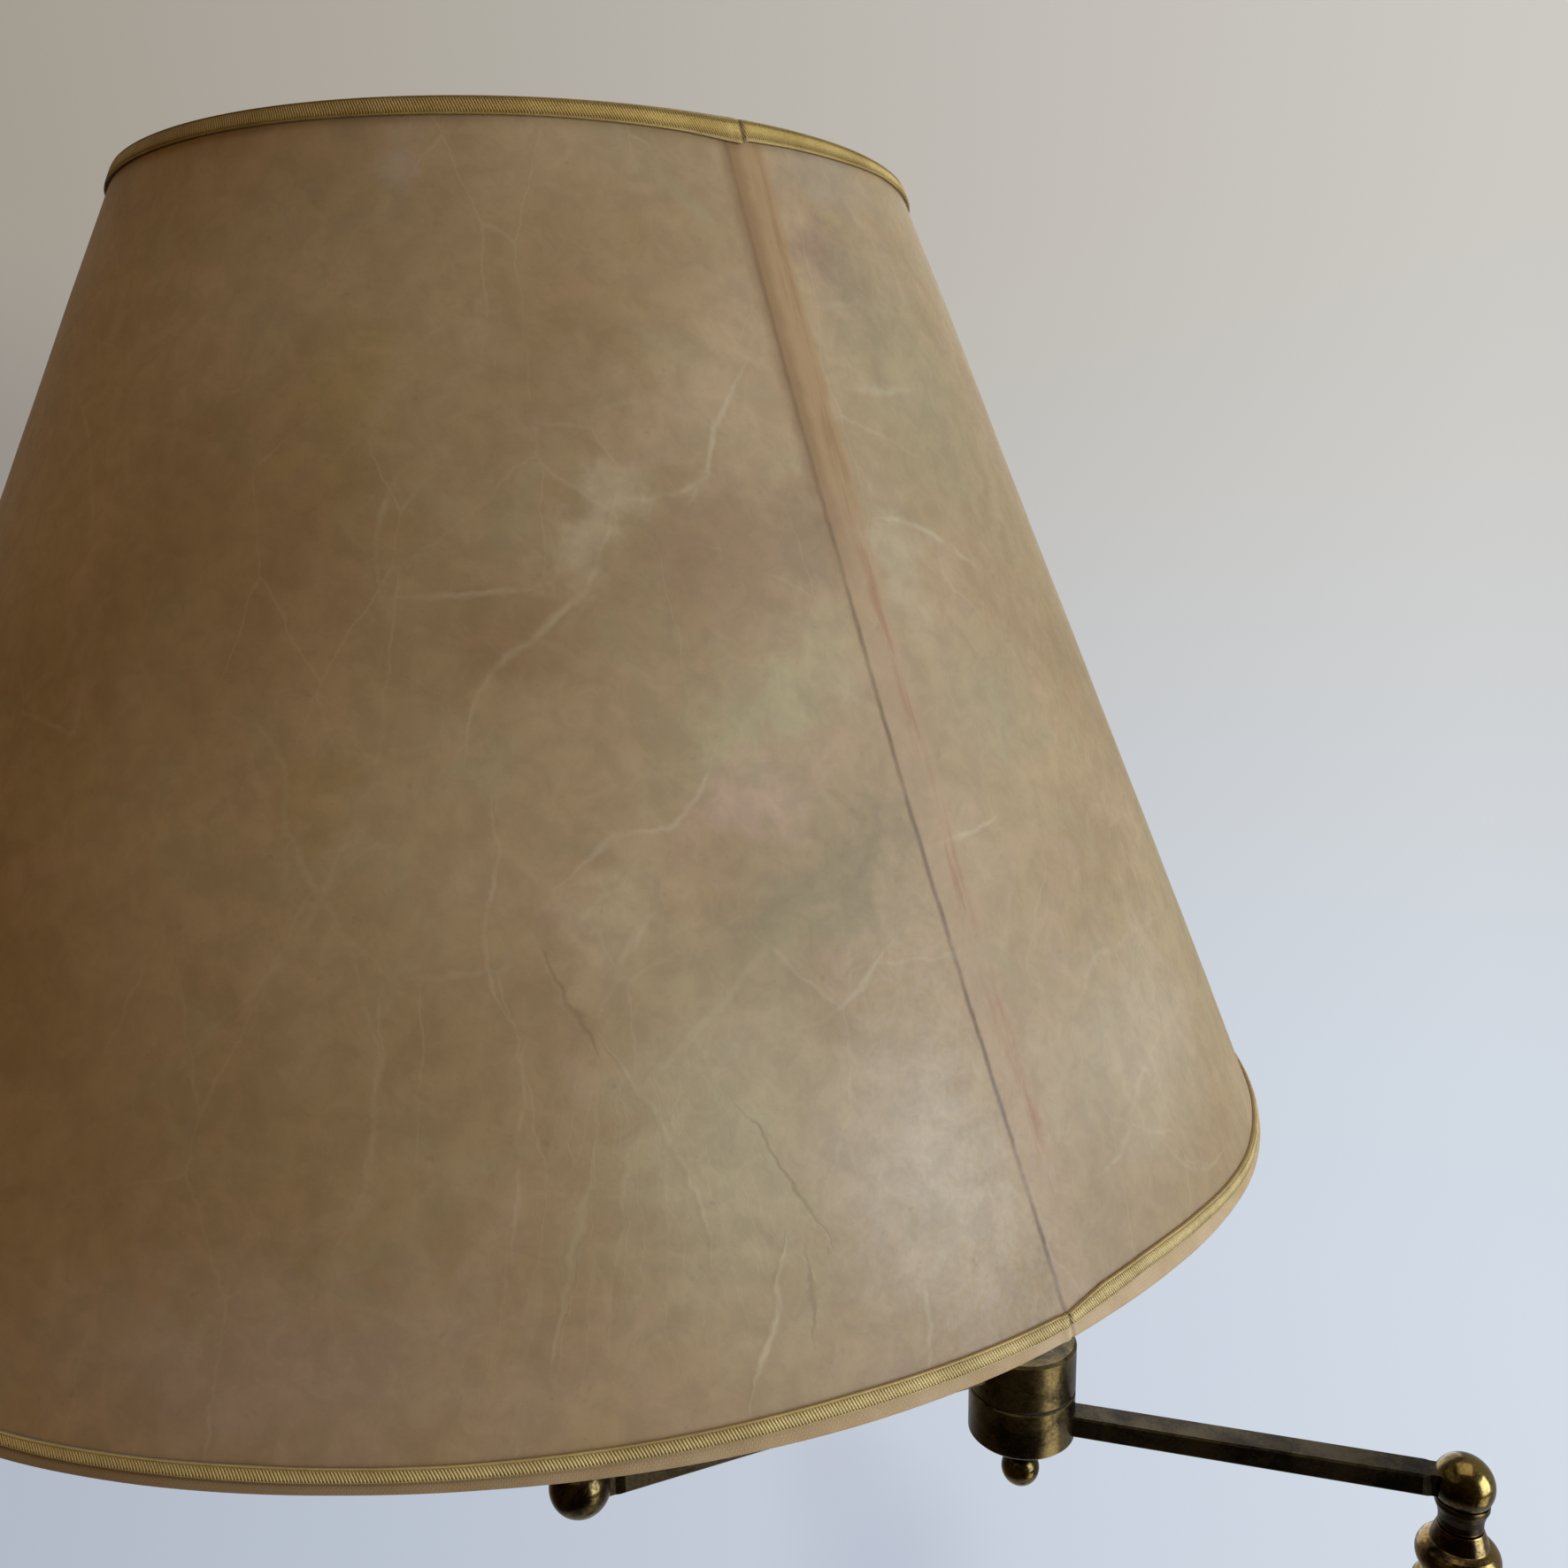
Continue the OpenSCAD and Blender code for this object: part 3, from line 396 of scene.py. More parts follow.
    @classmethod
    def oval_patch(cls) -> bpy.types.NodeTree:
        """Makes one soft oval patch.

        Returns:
            The group.
        """
        t, given, out = cls.start("oval_patch", [("Place", "Vector", None), ("Centre", "Vector", None),
                                            ("Turn", "Float", 0.0), ("Spread", "Vector", None)], ["Mask"])
        away = t.vector("SUBTRACT", given.outputs["Place"], given.outputs["Centre"])
        turned = t.add("ShaderNodeVectorRotate", {"Vector": away, "Angle": given.outputs["Turn"]},
                       rotation_type="Z_AXIS")
        t.feed(out.inputs["Mask"], t.span(
            t.vector("LENGTH", t.vector("DIVIDE", turned.outputs[0], given.outputs["Spread"])), 1.0, 0.0))
        return t.tree


# ---------------------------------------------------------------- finishes


class Finish:
    """The base of each finish: it makes its material once."""

    name: str

    def material(self) -> bpy.types.Material:
        """Gives the finish's material, and makes it at the first call.

        Returns:
            The material.
        """
        made = bpy.data.materials.get(self.name)
        if made:
            return made
        made = bpy.data.materials.new(self.name)
        made.use_nodes = True
        self.build(Tree(made.node_tree), made.node_tree.nodes["Principled BSDF"])
        return made

    def build(self, t: Tree, shader: bpy.types.Node) -> None:
        """Builds the nodes that feed the shader.

        Args:
            t: The material's tree.
            shader: Its shader.
        """
        raise NotImplementedError

    @staticmethod
    def here(t: Tree) -> Socket:
        """Gives the object's own coordinates."""
        return t.add("ShaderNodeTexCoord").outputs["Object"]


@dataclass(frozen=True)
class Brass(Finish):
    """Brass with a dark patina that is rubbed through on its edges."""

    name: str
    dark: str = "2a2012"
    mid: str = "6f5b2f"
    bright: str = "c9a759"
    rough: float = 0.26
    cloud: float = 55.0
    lines: float = 0.35
    wear: float = 0.0012
    rub: float = 0.7

    def build(self, t: Tree, shader: bpy.types.Node) -> None:
        """Builds the metal's nodes."""
        place = self.here(t)
        film = t.use(Effects.get(Effect.PATINA), Place=place, Cloud=self.cloud, Lines=self.lines)
        edge = t.use(Effects.get(Effect.EDGE_WEAR), Place=place, Width=self.wear, Patch=150.0)
        base = t.mix(film.outputs["Tarnish"], tone(self.mid), tone(self.dark))
        rub = t.times(edge.outputs["Mask"], self.rub)
        gloss = t.times(t.minus(film.outputs["Gloss"], 0.5), 0.22)
        t.fill(shader, {"Base Color": t.mix(rub, base, tone(self.bright)), "Metallic": 1.0,
                        "Roughness": t.plus(gloss, self.rough),
                        "Normal": t.bump(film.outputs["Height"], 0.06 * MM, 0.5)})


@dataclass(frozen=True)
class PlainMetal(Finish):
    """Steel or aluminium with a drawn, slightly smeared face."""

    name: str
    colour: str
    rough: float = 0.35
    grain: tuple[float, float, float] = (200.0, 200.0, 2400.0)

    def build(self, t: Tree, shader: bpy.types.Node) -> None:
        """Builds the metal's nodes."""
        place = self.here(t)
        drawn = t.noise(t.stretched(place, self.grain), 1.0, 3)
        smear = t.noise(place, 45.0, 4, 0.6)
        base = t.mix(t.span(smear, 0.35, 0.7), tone(self.colour), darker(self.colour, 0.72))
        t.fill(shader, {"Base Color": base, "Metallic": 1.0,
                        "Roughness": t.span(drawn, 0.3, 0.7, self.rough - 0.08, self.rough + 0.1),
                        "Normal": t.bump(drawn, 0.02 * MM, 0.5)})


@dataclass(frozen=True)
class Solid(Finish):
    """A plain body, such as porcelain, enamel, moulding, rubber, board or felt, with its own fine grain."""

    name: str
    colour: str
    shade: str
    rough: float = 0.5
    coat: float = 0.0
    grain: float = 900.0
    depth: float = 0.00003
    cloud: float = 30.0
    chips: float = 0.0
    chip_colour: str = "4a4038"

    def build(self, t: Tree, shader: bpy.types.Node) -> None:
        """Builds the body's nodes."""
        place = self.here(t)
        cloud = t.noise(place, self.cloud, 5, 0.6)
        fine = t.noise(place, self.grain, 4, 0.65)
        base = t.mix(t.span(cloud, 0.35, 0.68), tone(self.colour), tone(self.shade))
        if self.chips:
            edge = t.use(Effects.get(Effect.EDGE_WEAR), Place=place, Width=0.0008, Patch=320.0)
            base = t.mix(t.times(edge.outputs["Mask"], self.chips), base, tone(self.chip_colour))
        t.fill(shader, {"Base Color": base, "Coat Weight": self.coat, "Coat Roughness": 0.08,
                        "Roughness": t.span(fine, 0.3, 0.7, self.rough - 0.06, self.rough + 0.06),
                        "Normal": t.bump(fine, self.depth, 0.6)})


@dataclass(frozen=True)
class Tape(Finish):
    """Woven tape: a plain weave on the tape's own length and width."""

    name: str
    colour: str
    shade: str
    length: float
    width: float
    edge: str = "4b3417"
    pitch: float = 0.00042
    rough: float = 0.7

    def build(self, t: Tree, shader: bpy.types.Node) -> None:
        """Builds the tape's nodes."""
        uv = t.add("ShaderNodeUVMap", uv_map="run").outputs[0]
        threads = t.stretched(uv, (self.length / self.pitch, self.width / self.pitch, 1.0))
        weave = t.use(Effects.get(Effect.CLOTH), Threads=threads, Slub=0.5)
        cloud = t.noise(self.here(t), 38.0, 5, 0.65)
        base = t.mix(t.span(cloud, 0.34, 0.66), tone(self.colour), tone(self.shade))
        base = t.mix(t.times(weave.outputs["Gap"], 0.15), base, darker(self.shade, 0.45))
        across, dim = t.attribute("across"), t.attribute("dim")
        # Painted shade: a dark line along the tape's top edge, where the braid and the leather shade it, a
        # brown line under the braid on the side away from the window, and the whole tape darker on that side.
        rim = t.larger(t.span(across, 0.98, 1.04), t.times(t.span(across, -0.3, -0.02), dim))
        base = t.mix(t.times(rim, 0.6), base, tone(self.edge))
        base = t.mix(t.times(dim, 0.45), base, tone(self.edge))
        t.fill(shader, {"Base Color": base, "Roughness": self.rough, "Sheen Weight": 0.15,
                        "Normal": t.bump(weave.outputs["Height"], 0.06 * MM, 0.4)})


@dataclass(frozen=True)
class GoldThread(Finish):
    """Metallic thread, darker towards the braid's edges: painted shade on its rounded edges, with the brown
    of the wrapped tape along the top trim's upper edge; painted shade on the side away from the window too,
    and a dark joint.
    """

    name: str
    bright: str = "c8a857"
    dull: str = "a58849"
    edge: str = "6b5025"
    upper_brown_and_shade: float = 0.6
    lower_edge_shade: float = 0.4
    painted_shade: float = 0.0
    rough: float = 0.55
    metal: float = 0.2

    def build(self, t: Tree, shader: bpy.types.Node) -> None:
        """Builds the thread's nodes."""
        place = self.here(t)
        cloud = t.noise(place, 70.0, 5, 0.65)
        strand = t.noise(place, 2600.0, 3, 0.6)
        mixed = t.plus(t.times(cloud, 0.7), t.times(strand, 0.3))
        base = t.mix(t.span(mixed, 0.38, 0.64), tone(self.bright), tone(self.dull))
        across, joint, dim = t.attribute("across"), t.attribute("joint"), t.attribute("dim")
        # Darker towards the edges: painted shade on the braid's rounded edges, and at the top trim's upper
        # edge also the tape's own brown.
        side = t.larger(t.times(t.span(across, 0.7, 0.82), self.upper_brown_and_shade),
                        t.times(t.span(across, 0.48, 0.2), self.lower_edge_shade))
        # Painted shade on the side away from the window.
        side = t.larger(side, t.times(dim, self.painted_shade))
        base = t.mix(t.larger(side, joint), base, tone(self.edge))
        t.fill(shader, {"Base Color": base, "Metallic": self.metal,
                        "Roughness": t.span(strand, 0.3, 0.7, self.rough - 0.1, self.rough + 0.12),
                        "Normal": t.bump(strand, 0.05 * MM, 0.6)})


@dataclass(frozen=True)
class Frosted(Finish):
    """Glass that is frosted on its inside."""

    name: str

    def build(self, t: Tree, shader: bpy.types.Node) -> None:
        """Builds the glass's nodes."""
        fine = t.noise(self.here(t), 700.0, 3)
        t.fill(shader, {"Base Color": tone("f2f0ea"), "Roughness": t.span(fine, 0.3, 0.7, 0.3, 0.42),
                        "IOR": 1.3, "Transmission Weight": 0.82, "Coat Weight": 0.6, "Coat Roughness": 0.04})


@dataclass(frozen=True)
class Crease:
    """One crease of the hide, through points of azimuth in degrees and height in millimetres."""

    points: tuple[Point, ...]
    width: float
    depth: float
    light: float


@dataclass(frozen=True)
class Patch:
    """One patch of colour on the hide, placed like a crease, with its radii in millimetres: partly the
    leather's own mottling and partly painted shade and light of its dents and waves.
    """

    centre: Point
    radii: Point
    turn: float
    colour: str
    amount: float


@dataclass(frozen=True)
class Hide(Finish):
    """Waxed leather with mottled tones, light veins, creases, open pores and patches of colour; the dark
    creases and some of the patches are painted shade and light.
    """

    name: str
    mean_radius: float
    height: float
    start: float
    creases: tuple[Crease, ...]
    patches: tuple[Patch, ...]
    tan: str = "a88b63"
    umber: str = "94774f"
    pink: str = "ae8f71"
    olive: str = "9c8c65"
    vein: str = "cab994"
    rough: float = 0.56
    fan_from: Point = (-60.5, 92.0)

    def where(self, azimuth: float, height: float) -> tuple[float, float, float]:
        """Turns an azimuth and a height into the finish's flat coordinates, in millimetres.

        Args:
            azimuth: Degrees from the row's +X about the shade's axis.
            height: Millimetres above the lower rim.

        Returns:
            The flat place.
        """
        return (math.radians(azimuth - self.start) * self.mean_radius, height, 0.0)

    def build(self, t: Tree, shader: bpy.types.Node) -> None:
        """Builds the leather's nodes."""
        place = self.here(t)
        uv = t.add("ShaderNodeUVMap", uv_map="run").outputs[0]
        flat = t.stretched(uv, (2 * math.pi * self.mean_radius, self.height, 0.0))
        wander = t.noise(flat, 0.13, colour=True)
        drift = t.vector("MULTIPLY", t.vector("SUBTRACT", wander, (0.5, 0.5, 0.5)), (1.0, 1.0, 0.0))
        bent = t.vector("ADD", flat, t.vector("SCALE", drift, Scale=4.0))
        loose = t.vector("ADD", flat, t.vector("SCALE", drift, Scale=26.0))

        light, dark, relief = self.lines(t, bent)
        wrinkles = self.fan(t, bent)
        base = self.mottle_and_shade(t, place, loose)
        broken = t.span(t.noise(bent, 0.09, 2, 0.6), 0.4, 0.6, 0.25, 1.0)
        light = t.larger(t.times(light, broken), t.times(wrinkles, 0.13))
        light = t.larger(light, self.net(t, bent))
        base = t.mix(t.times(light, 0.6), base, tone(self.vein))
        # Dark lines along some creases: painted shade in their grooves.
        base = t.mix(t.times(dark, 0.5), base, tone("57442c"))
        base, lap_height = self.lap(t, flat, base)

        pores = t.span(t.noise(place, 330.0, 2), 0.7, 0.76)
        base = t.mix(t.times(pores, 0.14), base, tone("5a4630"))
        grain = t.noise(place, 800.0, 3, 0.65)
        height = t.math("MULTIPLY_ADD", grain, 0.16, t.math("MULTIPLY_ADD", wrinkles, 0.035, relief))
        height = t.plus(height, lap_height)
        t.fill(shader, {"Base Color": base, "Specular IOR Level": 0.4,
                        "Roughness": t.span(grain, 0.3, 0.7, self.rough - 0.05, self.rough + 0.08),
                        "Normal": t.bump(height, 0.3 * MM, 0.8)})

    def curve(self, t: Tree, value: Socket, points: Sequence[Point]) -> Socket:
        """Reads a smooth curve through points from 0 to 1, level beyond its ends.

        Args:
            t: The material's tree.
            value: Where the curve is read.
            points: The curve's points, left to right.

        Returns:
            The curve's value.
        """
        node = t.add("ShaderNodeFloatCurve")
        node.mapping.extend = "HORIZONTAL"
        line = node.mapping.curves[0]
        line.points[0].location, line.points[1].location = points[0], points[-1]
        for point in points[1:-1]:
            line.points.new(*point)
        node.mapping.update()
        t.feed(node.inputs["Value"], value)
        return node.outputs[0]

    def crease(self, t: Tree, bent: Socket, crease: Crease) -> Socket:
        """Draws one crease as a curve over the straight line from its first point to its last.

        Args:
            t: The material's tree.
            bent: The flat coordinates, bent a little.
            crease: The crease.

        Returns:
            Its mask, which thins out at both ends.
        """
        flat = [Vector(self.where(*point)[:2]) for point in crease.points]
        along = flat[-1] - flat[0]
        length = along.length
        along.normalize()
        across = Vector((-along.y, along.x))
        local = t.add("ShaderNodeMapping", {"Vector": bent, "Location": (*(flat[0] - across * length / 2), 0),
                                            "Rotation": (0, 0, math.atan2(along.y, along.x)),
                                            "Scale": (length, length, 1)}, vector_type="TEXTURE")
        x, y, _ = t.split(local.outputs[0])
        points = [((p - flat[0]).dot(along) / length, (p - flat[0]).dot(across) / length + 0.5) for p in flat]
        away = t.math("ABSOLUTE", t.minus(y, self.curve(t, x, points)))
        taper = self.curve(t, x, ((0, 0), (0.12, 0.6), (0.5, 1), (0.88, 0.6), (1, 0)))
        return t.span(t.math("MULTIPLY_ADD", away, -length / crease.width, taper), 0.0, 1.0)

    def lines(self, t: Tree, bent: Socket) -> tuple[Socket, Socket, Socket]:
        """Draws the creases.

        Args:
            t: The material's tree.
            bent: The flat coordinates, bent a little.

        Returns:
            The light lines, the dark lines and the relief of those that have one.
        """
        light: Socket | float = 0.0
        dark: Socket | float = 0.0
        relief: Socket | float = 0.0
        for crease in self.creases:
            mask = self.crease(t, bent, crease)
            if crease.light > 0:
                light = t.larger(light, t.times(mask, crease.light))
            else:
                dark = t.larger(dark, t.times(mask, -crease.light))
            if crease.depth:
                relief = t.math("MULTIPLY_ADD", mask, crease.depth, relief)
        return light, dark, relief

    def fan(self, t: Tree, bent: Socket) -> Socket:
        """Draws the fine wrinkles that fan out below one point.

        Args:
            t: The material's tree.
            bent: The flat coordinates, bent a little.

        Returns:
            Their mask.
        """
        away = t.vector("SUBTRACT", bent, self.where(*self.fan_from))
        x, y, _ = t.split(away)
        reach = t.vector("LENGTH", away)
        angle = t.math("ARCTAN2", x, t.times(y, -1.0))
        polar = t.combined(t.times(angle, 15.0), t.times(reach, 0.03))
        streaks = t.math("ABSOLUTE", t.minus(t.noise(polar, 1.0, 1.5, 0.5), 0.5))
        wide = t.span(t.math("ABSOLUTE", t.minus(angle, 0.06)), 0.52, 0.25)
        deep = t.times(t.span(reach, 22.0, 42.0), t.span(reach, 98.0, 60.0))
        return t.times(t.span(streaks, 0.03, 0.0), t.times(wide, deep))

    def net(self, t: Tree, bent: Socket) -> Socket:
        """Draws a faint net of veins that comes and goes.

        Args:
            t: The material's tree.
            bent: The flat coordinates, bent a little.

        Returns:
            Its mask.
        """
        slanting = t.stretched(bent, (0.04, 0.022, 0.0), -35.0)
        cells = t.add("ShaderNodeTexVoronoi", {"Vector": slanting, "Scale": 1.0}, feature="DISTANCE_TO_EDGE")
        gate = t.span(t.noise(bent, 0.024, 3, 0.6), 0.46, 0.62)
        return t.times(t.span(cells.outputs["Distance"], 0.013, 0.0), t.times(gate, 0.22))

    def mottle_and_shade(self, t: Tree, place: Socket, bent: Socket) -> Socket:
        """Mixes the hide's mottled colours and lays the patches over them, which are partly painted shade and
        light of the leather's dents and waves.

        Args:
            t: The material's tree.
            place: The object's own coordinates.
            bent: The flat coordinates, bent a lot.

        Returns:
            The colour.
        """
        broad = t.noise(place, 13.0, 3, 0.55, 0.6)
        middle = t.noise(t.vector("ADD", place, (3.1, 1.7, 0.4)), 42.0, 4, 0.62, 0.9)
        small = t.noise(place, 150.0, 4, 0.7, 0.5)
        base = t.mix(t.span(broad, 0.36, 0.66, 0.1, 0.75), tone(self.tan), tone(self.umber))
        base = t.mix(t.times(t.span(middle, 0.5, 0.7), 0.3), base, tone(self.pink))
        base = t.mix(t.times(t.span(middle, 0.47, 0.3), 0.35), base, tone(self.olive))
        oval_patch = Effects.get(Effect.OVAL_PATCH)
        for patch in self.patches:
            mask = t.use(oval_patch, Place=bent, Centre=self.where(*patch.centre), Turn=-math.radians(patch.turn),
                         Spread=(*patch.radii, 1.0)).outputs[0]
            base = t.mix(t.times(mask, patch.amount), base, tone(patch.colour))
        return t.vector("SCALE", base, Scale=t.span(small, 0.3, 0.7, 0.91, 1.09))

    def lap(self, t: Tree, flat: Socket, base: Socket) -> tuple[Socket, Socket]:
        """Colours the lapped seam: a dark line along the cut edge, partly the edge's own colour and partly
        painted shade of the lap's low step, then a warm glued strip with a soft far edge.

        Args:
            t: The material's tree.
            flat: The flat coordinates.
            base: The hide's colour.

        Returns:
            The colour and the strip's relief.
        """
        gap = t.attribute("lap")
        ragged = t.math("MULTIPLY_ADD", t.minus(t.noise(flat, 0.2, 3), 0.5), 3.0, gap)
        height = t.split(flat)[1]
        upper = t.span(height, 130.0, 175.0)
        streak = t.noise(t.stretched(flat, (0.45, 0.045, 0)), 1.0, 4, 0.6)

        def strip(low: float, high: float, soft: float, amount: object) -> Socket:
            """Gives the mask of a strip along the seam."""
            band = t.times(t.span(ragged, low - soft, low + soft), t.span(ragged, high + soft, high - soft))
            return t.times(band, amount)

        whole = t.times(t.span(ragged, -0.6, 0.6), t.span(ragged, 11.0, 9.0))
        base = t.mix(t.times(whole, t.span(upper, 0.0, 1.0, 0.3, 0.7)), base,
                     t.mix(upper, tone("b08c68"), tone("9f7a4c")))
        base = t.mix(strip(-2.0, 3.2, 1.6, t.times(upper, 0.55)), base, tone("7d5a34"))
        rust = t.times(t.span(height, 14.0, 30.0), t.span(streak, 0.42, 0.62))
        base = t.mix(strip(5.6, 8.6, 1.4, t.times(rust, 0.7)), base,
                     t.mix(upper, tone("9a6c48"), tone("8f6840")))
        # The dark line along the lap's edge: painted shade of the step, which the mesh keeps very low.
        line = t.span(t.math("ABSOLUTE", t.math("MULTIPLY_ADD", ragged, 0.25, t.times(gap, 0.75))), 1.0, 0.0)
        patchy = t.span(t.noise(flat, 0.06, 2), 0.35, 0.65, 0.35, 0.75)
        faint = t.times(patchy, t.span(upper, 1.0, 0.0, 0.5, 1.0))
        base = t.mix(t.times(line, faint), base, tone("5c4426"))
        return base, t.times(whole, t.times(streak, 0.3))


# ---------------------------------------------------------------- meshes


def linked(name: str, data: bpy.types.ID) -> bpy.types.Object:
    """Makes an object and puts it into the scene.

    Args:
        name: The object's name.
        data: Its mesh, light or camera.

    Returns:
        The object, at the origin.
    """
    made = bpy.data.objects.new(name, data)
    bpy.context.scene.collection.objects.link(made)
    return made


def place_object(name: str, mesh: bpy.types.Mesh, finish: Finish, smooth: bool = True) -> bpy.types.Object:
    """Makes an object of a finished mesh.

    Args:
        name: The piece's name.
        mesh: Its mesh, already in place.
        finish: Its finish.
        smooth: Whether its faces are shaded smooth.

    Returns:
        The object, at the origin.
    """
    mesh.materials.clear()
    mesh.materials.append(finish.material())
    if smooth:
        mesh.shade_smooth()
    return linked(name, mesh)


def grid_mesh(name: str, columns: int, rows: int, at: Callable[[int, int], Sequence[float]],
              run: Callable[[int, int], Point] | None = None, wrap_rows: bool = False) -> bpy.types.Mesh:
    """Makes a mesh of a grid that closes on itself along its columns.

    Args:
        name: The mesh's name.
        columns: How many columns go round.
        rows: How many rows.
        at: Gives a vertex's place from its column and row.
        run: Gives a corner's place on the piece's own map, where the last column is number columns.
        wrap_rows: Whether the last row meets the first.

    Returns:
        The mesh, with its faces pointing outwards where the rows climb and the columns go anticlockwise.
    """
    points = [at(i, j) for j in range(rows) for i in range(columns)]
    faces, corners = [], []
    for j in range(rows if wrap_rows else rows - 1):
        for i in range(columns):
            n, m = (i + 1) % columns, (j + 1) % rows
            faces.append((j * columns + i, j * columns + n, m * columns + n, m * columns + i))
            if run:
                corners += [run(i, j), run(i + 1, j), run(i + 1, j + 1), run(i, j + 1)]
    mesh = bpy.data.meshes.new(name)
    mesh.from_pydata(points, [], faces)
    if run:
        layer = mesh.uv_layers.new(name="run")
        layer.data.foreach_set("uv", [v for pair in corners for v in pair])
    mesh.update()
    return mesh


def revolve(name: str, profile: Sequence[Point], centre: Sequence[float], columns: int | Sequence[float] = 96,
            ripple: Callable[[float, int], float] | None = None) -> bpy.types.Mesh:
    """Turns a closed profile about an upright axis.

    Args:
        name: The mesh's name.
        profile: Radius and height of each corner, with the outside climbing.
        centre: The axis's place and the height that the profile is measured from.
        columns: How many even steps go round, or each step's angle.
        ripple: Gives an addition to the radius from the angle and the corner's index.

    Returns:
        The mesh.
    """
    lengths = [0.0]
    for a, b in zip(profile, [*profile[1:], profile[0]]):
        lengths.append(lengths[-1] + math.dist(a, b))

    even = isinstance(columns, int)
    angles = [2 * math.pi * i / columns for i in range(columns)] if even else list(columns)
    shares = [(angle - angles[0]) / (2 * math.pi) for angle in angles] + [1.0]

    def at(i: int, j: int) -> tuple[float, float, float]:
        """Gives a vertex's place."""
        angle = angles[i]
        r, z = profile[j]
        r += ripple(angle, j) if ripple else 0.0
        return (centre[0] + r * math.cos(angle), centre[1] + r * math.sin(angle), centre[2] + z)

    return grid_mesh(name, len(angles), len(profile), at,
                     lambda i, j: (shares[i], lengths[j] / lengths[-1]), wrap_rows=True)


def ribbon(path: Sequence[Point], thickness: float) -> list[Point]:
    """Gives the closed outline of a strip of even thickness along a path.

    Args:
        path: The strip's middle line.
        thickness: Its thickness.

    Returns:
        The outline: the side on the path's right first.
    """
    right, left = [], []
    for index, point in enumerate(path):
        before = Vector(path[max(index - 1, 0)])
        after = Vector(path[min(index + 1, len(path) - 1)])
        along = (after - before).normalized()
        across = Vector((along.y, -along.x)) * thickness / 2
        right.append(tuple(Vector(point) + across))
        left.append(tuple(Vector(point) - across))
    return right + left[::-1]


def arc(centre: Point, radius: float, start: float, end: float, steps: int) -> list[Point]:
    """Gives points along an arc.

    Args:
        centre: The arc's centre.
        radius: Its radius.
        start: Its first angle, in degrees.
        end: Its last angle.
        steps: How many parts it has.

    Returns:
        The points, both ends included.
    """
    angles = [math.radians(start + (end - start) * s / steps) for s in range(steps + 1)]
    return [(centre[0] + radius * math.cos(a), centre[1] + radius * math.sin(a)) for a in angles]


class Repeat:
    """Builds a Geometry Nodes tree and bakes its result into a plain mesh."""

    def __init__(self, name: str) -> None:
        """Starts the tree with a number input for each later size.

        Args:
            name: The tree's name.
        """
        self.group = bpy.data.node_groups.new(name, "GeometryNodeTree")
        self.tree = Tree(self.group)
        self.group.interface.new_socket(name="Geometry", in_out="OUTPUT", socket_type="NodeSocketGeometry")
        self.given = self.tree.add("NodeGroupInput")
        self.out = self.tree.add("NodeGroupOutput")
        self.values: dict[str, object] = {}

    def size(self, name: str, value: float | int) -> Socket:
        """Adds a named input.

        Args:
            name: What the input sets.
            value: Its value.

        Returns:
            The socket to build with.
        """
        kind = "NodeSocketInt" if isinstance(value, int) else "NodeSocketFloat"
        item = self.group.interface.new_socket(name=name, in_out="INPUT", socket_type=kind)
        self.values[item.identifier] = value
        return self.given.outputs[name]

    def bake(self, name: str, geometry: Socket, finish: Finish, smooth: bool = True) -> bpy.types.Mesh:
        """Realizes the instances, sets the material and gives the plain mesh.

        Args:
            name: The mesh's name.
            geometry: The tree's last geometry.
            finish: The finish of all of it.
            smooth: Whether the faces are shaded smooth.

        Returns:
            The mesh.
        """
        t = self.tree
        real = t.add("GeometryNodeRealizeInstances", {0: geometry}).outputs[0]
        dressed = t.add("GeometryNodeSetMaterial", {"Geometry": real, "Material": finish.material()})
        t.feed(self.out.inputs[0], dressed.outputs[0])
        holder = linked(name, bpy.data.meshes.new(name))
        modifier = holder.modifiers.new("repeat", "NODES")
        modifier.node_group = self.group
        for identifier, value in self.values.items():
            modifier[identifier] = value
        graph = bpy.context.evaluated_depsgraph_get()
        mesh = bpy.data.meshes.new_from_object(holder.evaluated_get(graph), depsgraph=graph)
        bpy.data.objects.remove(holder)
        if smooth:
            mesh.shade_smooth()
        return mesh


def join(name: str, meshes: Iterable[bpy.types.Mesh]) -> bpy.types.Mesh:
    """Joins meshes that share one material.

    Args:
        name: The new mesh's name.
        meshes: The meshes, in place.

    Returns:
        The joined mesh.
    """
    parts = [linked(name, mesh) for mesh in meshes]
    with bpy.context.temp_override(active_object=parts[0], selected_editable_objects=parts, object=parts[0]):
        bpy.ops.object.join()
    result = parts[0].data
    bpy.data.objects.remove(parts[0])
    result.name = name
    return result


# ---------------------------------------------------------------- sub-assemblies


class Slot(Enum):
    """The record's material slots meant for the new pieces; nothing here gives them to the pieces."""

    LEATHER = "leather"
    TAN_TAPE = "tan_tape"
    BROWN_TAPE = "brown_tape"
    GOLD = "gold_braid"
    GOLD_BRIGHT = "gold_braid_bright"
    BULB = "bulb_glass"
    CAP = "cap_aluminium"
    PHENOLIC = "phenolic"


def settle(piece: bpy.types.Object, body: str, slot: Slot, *nodes: str) -> bpy.types.Object:
    """Hands a finished piece to its body.

    Args:
        piece: The piece.
        body: The body that it rides on.
        slot: The record's slot; not used.
        *nodes: The CAD nodes that it stands for.

    Returns:
        The piece.
    """
    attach(piece, body)
    if nodes:
        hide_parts(*nodes)
    LOG.info("%s: %d faces on %s", piece.name, len(piece.data.polygons), body)
    return piece


